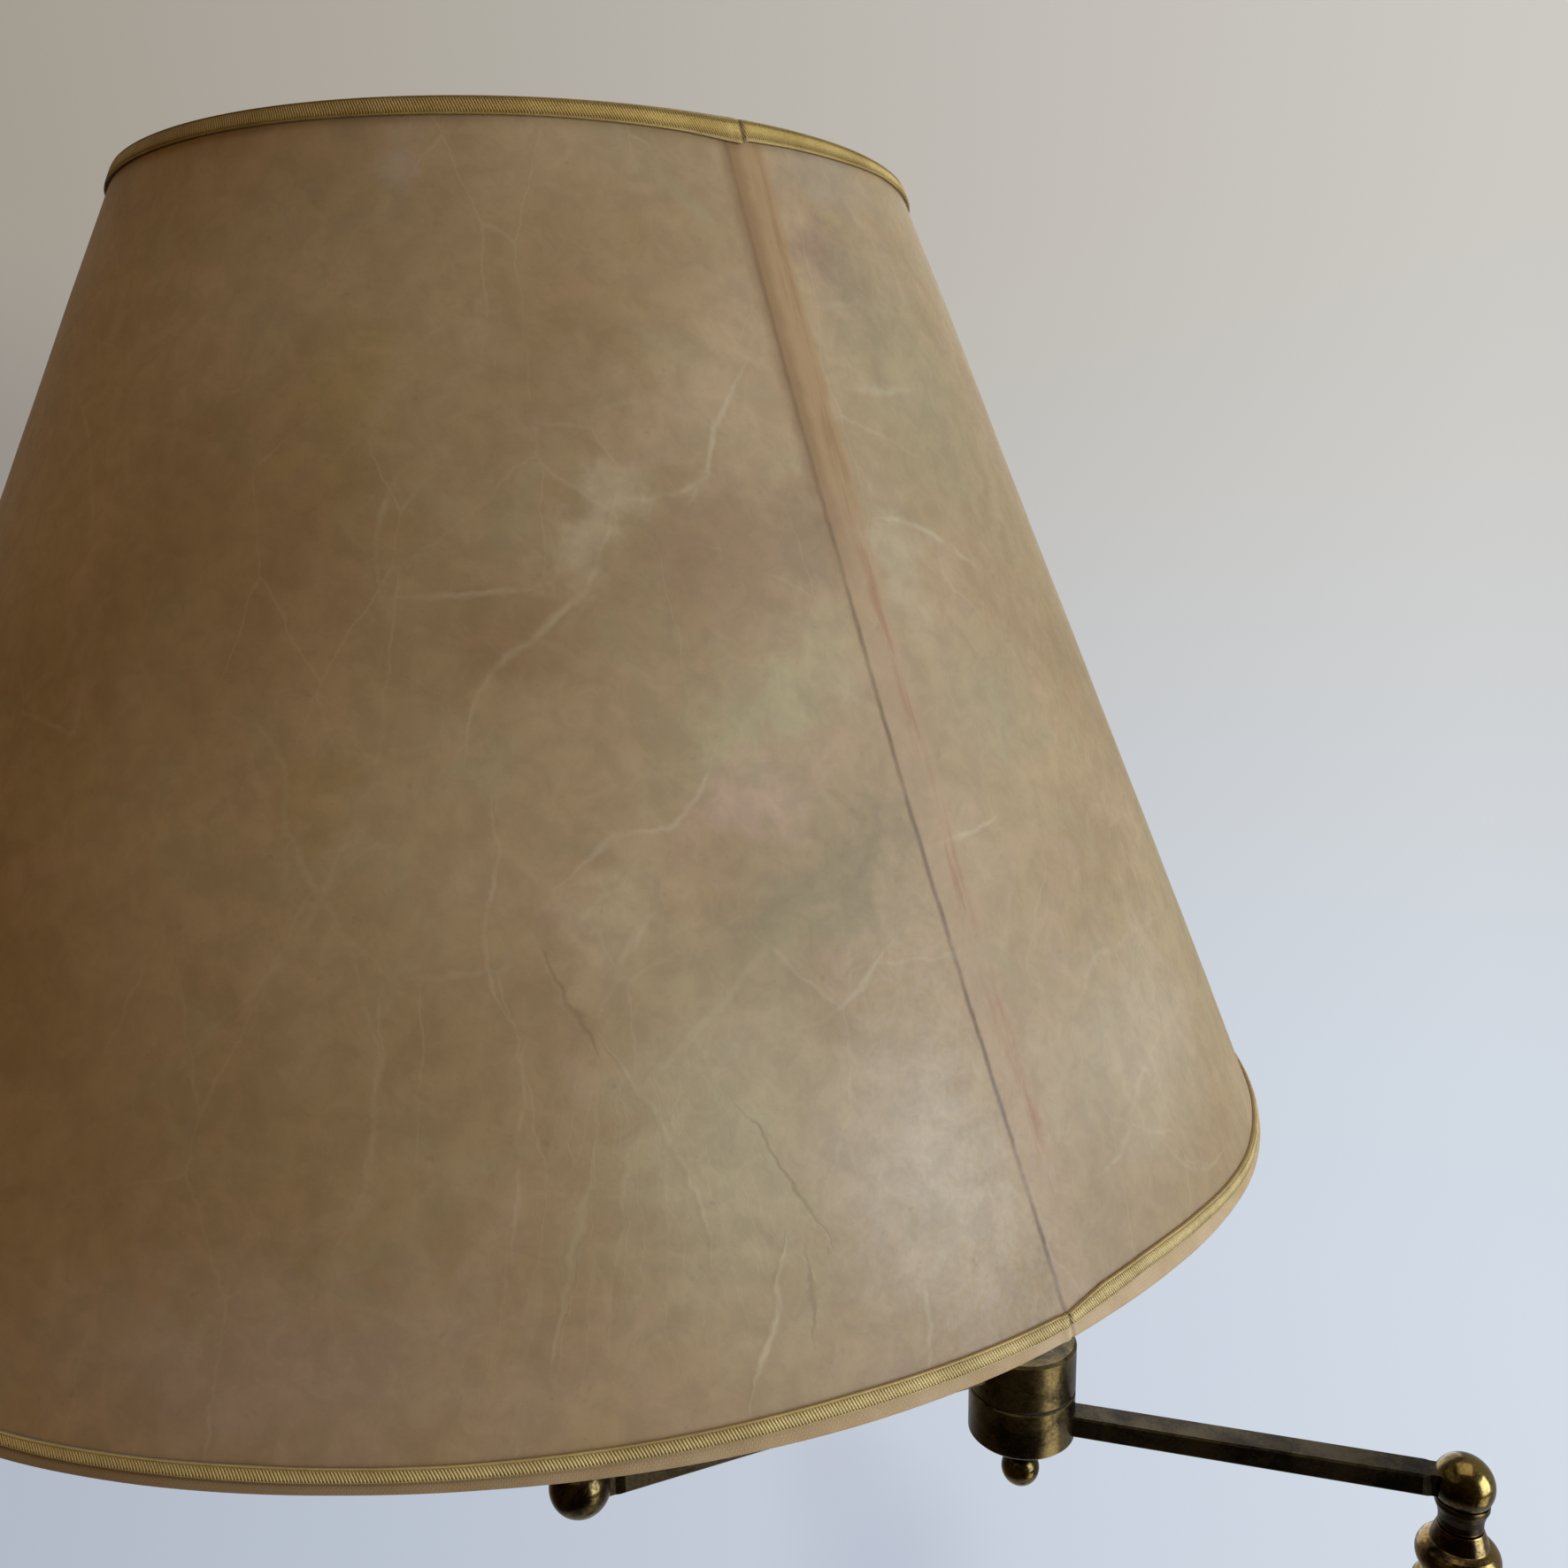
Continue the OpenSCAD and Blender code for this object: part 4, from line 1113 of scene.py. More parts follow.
@dataclass
class Cone:
    """The shade's outer cone: the face that the braid reaches."""

    axis: Point = HOLDER_AXIS
    rim_z: float = 1.210
    bottom_r: float = 0.200
    top_r: float = 0.1025
    height: float = 0.240

    def radius(self, h: float) -> float:
        """Gives the cone's radius at a height above its lower rim."""
        return self.bottom_r - (self.bottom_r - self.top_r) * h / self.height

    def centre(self) -> tuple[float, float, float]:
        """Gives the axis's foot at the lower rim."""
        return (*self.axis, self.rim_z)


def knots(points: Sequence[Point], x: float) -> float:
    """Reads a broken line.

    Args:
        points: The line's corners, in rising order.
        x: Where it is read.

    Returns:
        The line's value there.
    """
    if x <= points[0][0]:
        return points[0][1]
    for (x0, y0), (x1, y1) in zip(points, points[1:]):
        if x <= x1:
            return y0 + (y1 - y0) * (x - x0) / (x1 - x0)
    return points[-1][1]


CREASES = (
    Crease(((-43.0, 188), (-47.5, 175), (-50.4, 163), (-57.8, 160)), 1.4, 0.1, 0.54),
    Crease(((-54.2, 178), (-58.3, 176), (-61.7, 169)), 1.2, 0, 0.27),
    Crease(((-48.75, 170), (-50.2, 163), (-52.0, 158)), 1.4, 0, 0.32),
    Crease(((-57.5, 161), (-60.0, 146), (-63.3, 137), (-67.9, 128), (-69.6, 111)), 1.3, 0.08, 0.45),
    Crease(((-74.6, 166), (-76.6, 153), (-75.6, 141)), 1.2, 0, 0.32),
    Crease(((-76.4, 142.5), (-69.0, 142), (-62.5, 144.5)), 1, 0, 0.36),
    Crease(((-67.9, 109), (-67.5, 94), (-68.3, 84), (-66.0, 66)), 0.8, 0.1, 0.36),
    Crease(((-65.9, 68), (-66.4, 50), (-66.9, 30)), 0.72, 0, 0.32),
    Crease(((-65.2, 82), (-63.3, 72), (-61.7, 61)), 0.8, -0.14, -0.4),
    Crease(((-64.0, 90), (-60.4, 98), (-55.8, 101), (-51.5, 117)), 1, 0.1, 0.5),
    Crease(((-61.8, 68), (-59.4, 80), (-56.5, 88)), 1.2, 0, 0.36),
    Crease(((-54.5, 55), (-51.8, 41), (-49.4, 26)), 0.72, -0.14, -0.45),
    Crease(((-62.2, 68), (-59.4, 56), (-57.4, 44), (-56.4, 27)), 0.8, 0.14, 0.36),
    Crease(((-62.0, 52), (-63.6, 34), (-65.4, 14)), 0.8, 0.12, 0.29),
    Crease(((-60.0, 60), (-60.6, 44), (-62.2, 24)), 0.64, 0, 0.27),
    Crease(((-57.0, 62), (-58.4, 40), (-59.2, 22)), 0.64, 0, 0.27),
    Crease(((-51.9, 33), (-53.7, 17), (-55.6, 4)), 0.88, 0.2, 0.72),
    Crease(((-51.0, 30), (-51.6, 12)), 0.72, -0.12, -0.4),
    Crease(((-47.9, 50), (-47.3, 37)), 0.64, 0, 0.36),
    Crease(((-44.0, 20), (-45.3, 4)), 0.72, 0, 0.36),
    Crease(((-52.2, 62), (-46.7, 66), (-40.5, 78)), 1, 0.1, 0.41),
    Crease(((-34.5, 156), (-28.3, 154), (-23.3, 148), (-19.0, 142)), 1.4, 0.1, 0.5),
    Crease(((-34.5, 183), (-27.0, 183), (-21.0, 184)), 1.8, 0, 0.32),
    Crease(((-38.3, 90.5), (-33.3, 91.6), (-27.5, 95)), 0.96, 0, 0.5),
    Crease(((-21.0, 111), (-17.8, 101)), 1.2, 0, 0.36),
    Crease(((-28.5, 48), (-23.3, 60), (-17.5, 61), (-6.0, 60)), 1.3, 0, 0.32),
    Crease(((-31.5, 24), (-26.7, 25), (-21.7, 35), (-12.5, 41)), 1.3, 0.1, 0.5),
    Crease(((-22.0, 24), (-18.3, 12), (-12.5, 10)), 1.1, 0, 0.41),
    Crease(((-89.0, 121), (-82.9, 116), (-80.5, 98), (-72.0, 73)), 1.2, 0, 0.23),
    Crease(((-75.3, 114), (-78.3, 92), (-80.5, 80), (-86.5, 65)), 1.1, 0, 0.2),
    Crease(((-77.8, 90), (-74.6, 66), (-74.4, 50), (-77.0, 30)), 0.96, 0, 0.22),
    Crease(((-116, 186), (-108, 170), (-104, 148)), 1.1, 0, 0.32),
    Crease(((152, 152), (142, 133), (131, 128)), 1.3, 0.08, 0.41),
    Crease(((58, 56), (66, 84), (78, 96), (85, 124)), 1.2, 0, 0.41),
    Crease(((19, 196), (28, 170), (26, 146)), 1.2, 0, 0.36),
    Crease(((98, 36), (108, 60), (122, 67)), 0.96, 0, -0.35),
    Crease(((-149, 104), (-158, 84), (-160, 56)), 1.2, 0, 0.36),
)

# Patches of colour on the hide: partly its own mottling, partly painted shade and light of its dents and
# waves.
PATCHES = (
    Patch((-60, 205), (62, 36), 0, "8f6e42", 0.59),
    Patch((-98, 202), (52, 44), 0, "b09a78", 0.39),
    Patch((-84, 150), (40, 60), 0, "8d6b3f", 0.45),
    Patch((-80, 180), (20, 26), 0, "9a8047", 0.45),
    Patch((-80, 107), (11, 13), 0, "967742", 0.45),
    Patch((-77, 226), (8, 12), 0, "ac947f", 0.39),
    Patch((-50, 178), (36, 13), 28, "b2946f", 0.5),
    Patch((-59, 156), (22, 9), 48, "bfa581", 0.52),
    Patch((-47, 150), (36, 22), 12, "8b6c4b", 0.6),
    Patch((-67, 134), (26, 18), 0, "8b6a43", 0.59),
    Patch((-48, 119), (40, 13), 30, "ab9a6f", 0.72),
    Patch((-50, 103), (26, 11), 18, "bb997c", 0.65),
    Patch((-60, 85), (14, 20), -30, "bfa67f", 0.59),
    Patch((-42, 93), (26, 10), 32, "86724d", 0.62),
    Patch((-49, 82), (30, 14), 22, "90805a", 0.62),
    Patch((-55, 46), (28, 44), 0, "b3a27b", 0.65),
    Patch((-43, 36), (24, 34), 0, "bda789", 0.65),
    Patch((-82, 16), (62, 22), 0, "ac917c", 0.52),
    Patch((-30, 211), (18, 12), 0, "8f6f54", 0.78),
    Patch((-26, 202), (15, 26), 0, "7d6749", 0.5),
    Patch((-40, 153), (15, 17), 0, "826647", 0.45),
    Patch((-21, 186), (44, 46), 0, "968863", 0.5),
    Patch((-32, 148), (14, 24), 0, "b7a582", 0.38),
    Patch((-25, 118), (28, 20), 0, "998a66", 0.4),
    Patch((-20, 42), (46, 36), 0, "b29e82", 0.45),
    Patch((-24, 230), (40, 12), 0, "98836a", 0.52),
    Patch((60, 150), (50, 40), 20, "8f7048", 0.59),
    Patch((100, 70), (46, 34), -20, "b3a27f", 0.59),
    Patch((150, 190), (50, 36), 0, "8a6a45", 0.59),
    Patch((10, 60), (40, 40), 0, "a4966c", 0.52),
    Patch((-150, 60), (52, 38), 0, "957850", 0.52),
)


@dataclass
class LeatherShade:
    """The leather and its lining, on the shade's cone."""

    cone: Cone
    inset: float = 1.64 * MM
    thickness: float = 1.14 * MM
    margin: float = 0.84 * MM
    lap_width: float = 10.0 * MM
    lap_lift: float = 0.07 * MM
    lap_edge: float = 0.8 * MM
    rows: int = 128
    seam: tuple[Point, ...] = ((0.0, -35.3), (40.0, -36.2), (70.0, -36.9), (100.0, -37.6), (150.0, -38.4),
                               (180.0, -39.1), (240.0, -39.9))
    start: float = -217.0

    def columns(self) -> list[float]:
        """Gives each column's share of the way round from the seam, with close columns on the lap.

        Returns:
            Distances in degrees from the seam, from 0 to below 360.
        """
        edge = [0.06 * k for k in range(6)]
        lap = [0.36 + 0.2 * k for k in range(22)]
        rest = [4.8 + (359.4 - 4.8) * k / 380 for k in range(381)]
        return [*edge, *lap, *rest, 359.7, 359.9]

    def dent(self, azimuth: float, h: float) -> float:
        """Gives how far the leather stands proud of its cone, in metres.

        Args:
            azimuth: Degrees about the shade's axis.
            h: Metres above the lower rim.

        Returns:
            The rise, from 0 to about 0.6 mm, and 0 at the rims.
        """
        a = math.radians(azimuth)
        near = Vector((math.cos(a) * 3.4, math.sin(a) * 3.4, h * 22))
        wave = noise.noise(near) * 0.5 + noise.noise(near * 2.7) * 0.25
        free = min(1.0, max(0.0, (h - 10 * MM) / (20 * MM)), max(0.0, (230 * MM - h) / (20 * MM)))
        return 0.45 * MM * (0.5 + wave) * free

    def leather(self) -> bpy.types.Object:
        """Builds the leather as one sheet whose first edge laps over its last.

        Returns:
            The piece.
        """
        cone, steps = self.cone, self.columns()
        count = len(steps)
        climb = (cone.height - 2 * self.margin) / (self.rows - 1)
        heights = [self.margin + climb * j for j in range(self.rows)]
        total = self.rows + 2

        def level(j: int) -> tuple[float, float]:
            """Gives a row's height and how far it lies inside."""
            if j < self.rows:
                return heights[j], 0.0
            return (heights[-1] if j == self.rows else heights[0]), self.thickness

        def azimuth(i: int, h: float) -> float:
            """Gives a column's azimuth in degrees at a height."""
            turn = steps[i] if i < count else 360.0
            return knots(self.seam, h / MM) + turn

        def lapped(i: int, h: float) -> float:
            """Gives the lap's lift."""
            run = math.radians(steps[i]) * cone.radius(h)
            if run > self.lap_width:
                return 0.0
            share = run / self.lap_width
            edge = min(1.0, max(0.0, (h - 5.2 * MM) / (2 * MM)), max(0.0, (234.8 * MM - h) / (2 * MM)))
            rise = min(1.0, run / self.lap_edge)
            return self.lap_lift * (1 - share * share * (3 - 2 * share)) * rise * rise * (3 - 2 * rise) * edge

        def at(i: int, j: int) -> tuple[float, float, float]:
            """Gives a vertex's place."""
            h, inner = level(j)
            turn = azimuth(i, h)
            r = cone.radius(h) - self.inset - inner
            if not inner:
                r += self.dent(turn, h) + lapped(i, h)
            a = math.radians(turn)
            return (cone.axis[0] + r * math.cos(a), cone.axis[1] + r * math.sin(a), cone.rim_z + h)

        def run(i: int, j: int) -> Point:
            """Gives a corner's place on the hide's map."""
            h, _ = level(j % total)
            turn = azimuth(i, h)
            if azimuth(min(i, count - 1), h) > self.start + 360 - 1.0:
                turn -= 360.0
            return ((turn - self.start) / 360.0, h / cone.height)

        mesh = grid_mesh("leather_sheet", count, total, at, run, wrap_rows=True)
        gap = mesh.attributes.new("lap", "FLOAT", "POINT")
        values = []
        for j in range(total):
            h, _ = level(j)
            for i in range(count):
                turn = steps[i] if steps[i] < 180 else steps[i] - 360
                values.append(max(-20.0, min(20.0, math.radians(turn) * cone.radius(h) / MM)))
        gap.data.foreach_set("value", values)
        finish = Hide("leather_hide", 149.0, cone.height / MM, self.start, CREASES, PATCHES)
        return settle(place_object("leather_sheet", mesh, finish), "upper_arm", Slot.LEATHER, "leather_cover")


LOWER_EDGES = (
    (0.0, ((-140, 0), (-92, -1.4), (-85, -1.2), (-75, -0.7), (-68, -0.6), (-50, -0.8), (-40, -0.6),
           (-32, -0.1), (-25, -0.2), (-15, -1.2), (-8, -2.2), (5, -3), (70, 0))),
    (2.4, ((-140, 2.4), (-90, 1.1), (-80, 1.4), (-60, 1.9), (-50, 2.1), (-37, 2.1), (-34, 2.8), (-28, 4.0),
           (-20, 3.2), (-10, 0.9), (5, -0.4), (70, 2.4))),
    (5.2, ((-140, 5.2), (-92, 3.0), (-85, 3.3), (-80, 3.6), (-70, 3.7), (-60, 4.2), (-55, 4.5), (-50, 4.8),
           (-40, 4.7), (-36, 4.7), (-35.2, 4.5), (-34, 5.3), (-32, 6.3), (-28, 6.7), (-25, 6.6), (-20, 5.8),
           (-15, 4.5), (-8, 2.8), (5, 1.6), (70, 5.2))),
)
UPPER_EDGES = (
    (235.2, ((-130, 235.2), (-98, 235.7), (-60, 235.4), (-50, 235), (-45, 234.7), (-42, 234.2),
             (-37.9, 233.7), (-36.6, 234.6), (-30, 235), (-20, 235.3), (-10, 236), (40, 235.2))),
    (237.3, ((-130, 237.4), (-98, 237.6), (-60, 237.3), (-50, 237.1), (-38, 236.6), (-36.6, 237.5),
             (-20, 237.8), (40, 237.4))),
    (240.0, ((-130, 240.0), (40, 240.0))),
)


@dataclass
class RimTrim:
    """The trim of one rim: tape wrapped over the edge and its wire, and finely ribbed braid on the tape.

    It is built level and then bent, so that its edges run as edges says: at each level height, in millimetres
    above the lower rim, the heights that this level has at some azimuths, in degrees.
    """

    cone: Cone
    side: str
    tape_h: float
    braid_low: float
    braid_high: float
    joint: float
    edges: tuple[tuple[float, tuple[Point, ...]], ...]
    tape_colours: tuple[str, str]
    tape_slot: Slot
    thread: GoldThread
    thread_slot: Slot
    tape: float = 0.5 * MM
    notch: float = 0.45
    ring_in: float = 5.8 * MM
    ring_r: float = 2.6 * MM
    pitch: float = 0.6 * MM
    rib_inset: float = 0.61 * MM
    rib_t: float = 0.05 * MM
    cord_inset: float = 0.82 * MM
    cord_in: float = 0.16 * MM
    cord_r: float = 0.17 * MM

    @property
    def upper(self) -> bool:
        """Tells the upper rim from the lower one."""
        return self.side == "top"

    def angles(self) -> list[float]:
        """Gives the columns' angles: close to one another at the joint, and even elsewhere.

        Returns:
            The angles in radians, through one whole turn.
        """
        close = math.radians(1.2)
        start = math.radians(self.joint) - close
        fine = [start + 2 * close * k / 48 for k in range(48)]
        return fine + [start + 2 * close + (2 * math.pi - 2 * close) * k / 340 for k in range(340)]

    def path(self) -> list[Point]:
        """Gives the tape's middle line as inset and distance from the rim's edge.

        Returns:
            The line, from the outer leg round the edge and the wire to the lining.
        """
        bend = arc((1.9 * MM, 1.0 * MM), 0.6 * MM, 180, 270, 4)
        roll = arc((self.ring_in, 3.0 * MM), self.ring_r, -90, 90, 12)
        leg = [(1.3 * MM, self.tape_h * share) for share in (1.0, 0.9, 0.7, 0.52)]
        return [*leg, *bend, *roll, (4.2 * MM, 5.7 * MM)]

    def turned(self, outline: Sequence[Point]) -> list[Point]:
        """Turns insets and distances from the rim into radii and heights.

        Args:
            outline: Inset and distance from the edge of each point.

        Returns:
            Radius and height above the lower rim of each point.
        """
        height = self.cone.height
        points = [(self.cone.radius(height - d if self.upper else d) - inset, height - d if self.upper else d)
                  for inset, d in outline]
        return points[::-1] if self.upper else points

    def bend(self, mesh: bpy.types.Mesh) -> None:
        """Bends a level mesh to the trim's edges, raises its joint and marks its edges for the colour.

        Args:
            mesh: The mesh. It gets the attributes "across", from 0 to 1 over the braid's width, "joint", and
                "dim", which is 1 on the trim's left, away from the window, where the trim gets painted shade.
        """
        cone = self.cone
        places = np.empty(len(mesh.vertices) * 3)
        mesh.vertices.foreach_get("co", places)
        places = places.reshape(-1, 3)
        x, y = places[:, 0] - cone.axis[0], places[:, 1] - cone.axis[1]
        r, turn, h = np.hypot(x, y), np.arctan2(y, x), places[:, 2] - cone.rim_z
        outer = np.clip((3.2 * MM - (cone.radius(h) - r)) / (1.4 * MM), 0.0, 1.0)
        shift = np.zeros(len(r))
        for index, (level, line) in enumerate(self.edges):
            moved = np.interp(np.degrees(turn), *zip(*line)) - level
            if index:
                low = self.edges[index - 1][0]
                shift += (moved - before) * np.clip((h / MM - low) / (level - low), 0.0, 1.0)
            else:
                shift += moved
            before = moved
        shift *= outer * MM
        run = (turn - math.radians(self.joint)) * r / MM
        notch = np.exp(-(run / self.notch) ** 2)
        rise = (0.25 * np.exp(-((run + self.notch + 1.0) / 0.9) ** 2) - 0.3 * notch) * outer * MM
        r = r + rise - shift * (cone.bottom_r - cone.top_r) / cone.height
        places[:, 0], places[:, 1] = cone.axis[0] + r * np.cos(turn), cone.axis[1] + r * np.sin(turn)
        places[:, 2] += shift
        mesh.vertices.foreach_set("co", places.ravel())
        across = (h - self.braid_low) / (self.braid_high - self.braid_low)
        # Painted shade: 1 on the trims' left, away from the window, easing to 0 towards the lit side.
        dim = np.clip((-52.0 - np.degrees(turn)) / 26.0, 0.0, 1.0)
        for name, values in (("across", across), ("joint", notch * outer), ("dim", dim)):
            mesh.attributes.new(name, "FLOAT", "POINT").data.foreach_set("value", values)
        mesh.update()

    def tape_piece(self) -> bpy.types.Object:
        """Builds the wrapped tape.

        Returns:
            The piece.
        """
        outline = self.turned(ribbon(self.path(), self.tape))[::-1]
        name = f"{self.side}_tape"
        mesh = revolve(name, outline, self.cone.centre(), self.angles())
        self.bend(mesh)
        rim = 2 * math.pi * self.cone.radius(self.cone.height if self.upper else 0.0)
        finish = Tape(name + "_weave", *self.tape_colours, rim, 0.034)
        return settle(place_object(name, mesh, finish), "upper_arm", self.tape_slot, f"{self.side}_binding")

    def braid_piece(self) -> bpy.types.Object:
        """Builds the braid: a crowned band, slanting ribs laid over it and a cord along each edge.

        Returns:
            The piece.
        """
        cone, low, high = self.cone, self.braid_low, self.braid_high
        crown = ((0.0, 1.1), (0.03, 0.85), (0.25, 0.66), (0.5, 0.6), (0.75, 0.66), (0.97, 0.85), (1.0, 1.1))
        band = [(cone.radius(low + (high - low) * share) - inset * MM, low + (high - low) * share)
                for share, inset in crown]
        base = revolve("band", band, cone.centre(), self.angles())
        ribs = self.ribs()
        cords = [revolve("cord", [(cone.radius(h) - self.cord_inset + r, h + z) for r, z in
                                  arc((0, 0), self.cord_r, 0, 315, 7)], cone.centre(), self.angles())
                 for h in (low + self.cord_in, high - self.cord_in)]
        for mesh in (base, *cords):
            mesh.materials.append(self.thread.material())
        name = f"{self.side}_gold_braid"
        mesh = join(name, [base, *cords, ribs])
        self.bend(mesh)
        piece = place_object(name, mesh, self.thread)
        return settle(piece, "upper_arm", self.thread_slot, f"{self.side}_braid")

    def ribs(self) -> bpy.types.Mesh:
        """Sets out the braid's ribs round the rim, each a flat slanting grain.

        Returns:
            Their mesh, level.
        """
        cone, width = self.cone, self.braid_high - self.braid_low
        middle = (self.braid_low + self.braid_high) / 2
        repeat = Repeat("ribbed_braid")
        t = repeat.tree
        count = repeat.size("Ribs", int(2 * math.pi * cone.radius(middle) / self.pitch))
        round_r = repeat.size("Radius", cone.radius(middle) - self.rib_inset)
        slant = repeat.size("Slant", math.radians(24))
        lean = repeat.size("Lean", -math.atan((cone.bottom_r - cone.top_r) / cone.height))
        long = repeat.size("Rib length", width * 0.5)
        wide = repeat.size("Rib width", self.pitch * 0.5)
        thick = repeat.size("Rib thickness", self.rib_t)
        circle = t.add("GeometryNodeMeshCircle", {"Vertices": count, "Radius": round_r}).outputs[0]
        x, y, _ = t.split(t.add("GeometryNodeInputPosition").outputs[0])
        turns = t.combined(slant, lean, t.math("ARCTAN2", y, x))
        rotation = t.add("FunctionNodeEulerToRotation", {0: turns}).outputs[0]
        grain = t.add("GeometryNodeMeshUVSphere", {"Segments": 6, "Rings": 5, "Radius": 1.0}).outputs[0]
        shaped = t.add("GeometryNodeTransform", {"Geometry": grain, "Scale": t.combined(thick, wide, long)})
        set_out = t.add("GeometryNodeInstanceOnPoints", {"Points": circle, "Instance": shaped.outputs[0],
                                                         "Rotation": rotation})
        moved = t.add("GeometryNodeTransform", {"Geometry": set_out.outputs[0],
                                                "Translation": (*cone.axis, cone.rim_z + middle)})
        return repeat.bake("ribs", moved.outputs[0], self.thread)


@dataclass
class Bulb:
    """The lamp's bulb, as its smooth glass and its threaded cap."""

    axis: Point = HOLDER_AXIS
    cap_z: float = 1.2198
    cap_r: float = 13.1 * MM
    cap_h: float = 26.0 * MM
    tip_r: float = 6.3 * MM
    globe_z: float = 1.2838
    globe_r: float = 30.0 * MM
    neck_r: float = 12.6 * MM

    def cap(self) -> bpy.types.Object:
        """Builds the rolled thread of the cap.

        Returns:
            The piece.
        """
        steps = 60
        pitch = 3.6 * MM
        wall = [(self.tip_r - 0.9 * MM, 0.1 * MM), (self.tip_r, 0.0), (self.cap_r - 1.2 * MM, 4.6 * MM)]
        thread_r, thread_h = self.cap_r - 0.55 * MM, self.cap_h - 5.4 * MM
        rise = [(thread_r, 5.0 * MM + thread_h * k / steps) for k in range(steps + 1)]
        inside = [(self.cap_r - 1.7 * MM, self.cap_h - 0.5 * MM), (self.cap_r - 1.9 * MM, 5.2 * MM)]
        profile = wall + rise + inside
        first, last = len(wall), len(wall) + len(rise) - 1

        def thread(angle: float, j: int) -> float:
            """Gives the rolled thread's rise."""
            if not first < j < last:
                return 0.0
            z = profile[j][1]
            ease = min(1.0, (z - 6 * MM) / (2 * MM), (self.cap_h - 5 * MM - z) / (2 * MM))
            return max(0.0, ease) * 0.55 * MM * math.cos(2 * math.pi * z / pitch - angle)

        mesh = revolve("bulb_thread", profile, (*self.axis, self.cap_z), 72, ripple=thread)
        finish = PlainMetal("rolled_cap", "b9b7b0", 0.3, (60.0, 60.0, 500.0))
        return settle(place_object("bulb_thread", mesh, finish), "upper_arm", Slot.CAP, "bulb_cap")

    def glass(self) -> bpy.types.Object:
        """Builds the glass as one smooth hollow bulb.

        Returns:
            The piece.
        """
        base = self.cap_z + self.cap_h - 6 * MM - self.globe_z
        outer = [(self.neck_r, base), (self.neck_r, base + 9 * MM), (self.neck_r + 0.7 * MM, base + 14 * MM)]
        outer += arc((0, 0), self.globe_r, -57, 89.4, 26)
        wall = 0.8 * MM
        inner = [(max(r - wall * 0.9, 0.05 * MM), z - (wall if z > 0.02 else 0.0)) for r, z in outer][::-1]
        mesh = revolve("bulb_globe", outer + inner, (*self.axis, self.globe_z), 72)
        piece = place_object("bulb_globe", mesh, Frosted("frosted_glass"))
        return settle(piece, "upper_arm", Slot.BULB, "bulb_glass")


@dataclass
class SwitchKnob:
    """The rotary switch's moulded knob, with grip ribs round it."""

    axis: Point = HOLDER_AXIS
    z: float = 1.197
    direction: float = 30.0
    start: float = 21.8 * MM
    length: float = 12.0 * MM
    radius: float = 5.5 * MM
    ribs: int = 18

    def knob(self) -> bpy.types.Object:
        """Builds the knob and lays it along its spindle.

        Returns:
            The piece.
        """
        r, long = self.radius, self.length
        profile = [(2.05 * MM, 0.0), (r - 0.8 * MM, 0.0), (r - 0.3 * MM, 0.3 * MM),
                   (r - 0.3 * MM, long * 0.7), (r - 1.0 * MM, long * 0.76), (r - 1.1 * MM, long - 0.8 * MM),
                   (r - 1.9 * MM, long), (0.3 * MM, long), (0.3 * MM, long - 1.9 * MM),
                   (2.05 * MM, long - 1.9 * MM)]

        def grip(angle: float, j: int) -> float:
            """Gives the grip ribs' rise."""
            return 0.28 * MM * math.cos(self.ribs * angle) if j in (2, 3) else 0.0

        mesh = revolve("switch_grip", profile, (0, 0, 0), self.ribs * 8, ripple=grip)
        turn = math.radians(self.direction)
        out = Vector((math.cos(turn), math.sin(turn), 0))
        mesh.transform(Matrix.Translation(Vector((*self.axis, self.z)) + out * self.start)
                       @ out.to_track_quat("Z", "Y").to_matrix().to_4x4())
        finish = Solid("moulded_knob", "2a1d16", "1b1310", 0.3, 0.3, 600.0)
        return settle(place_object("switch_grip", mesh, finish, smooth=False), "switch_knob", Slot.PHENOLIC,
                      "switch_knob")


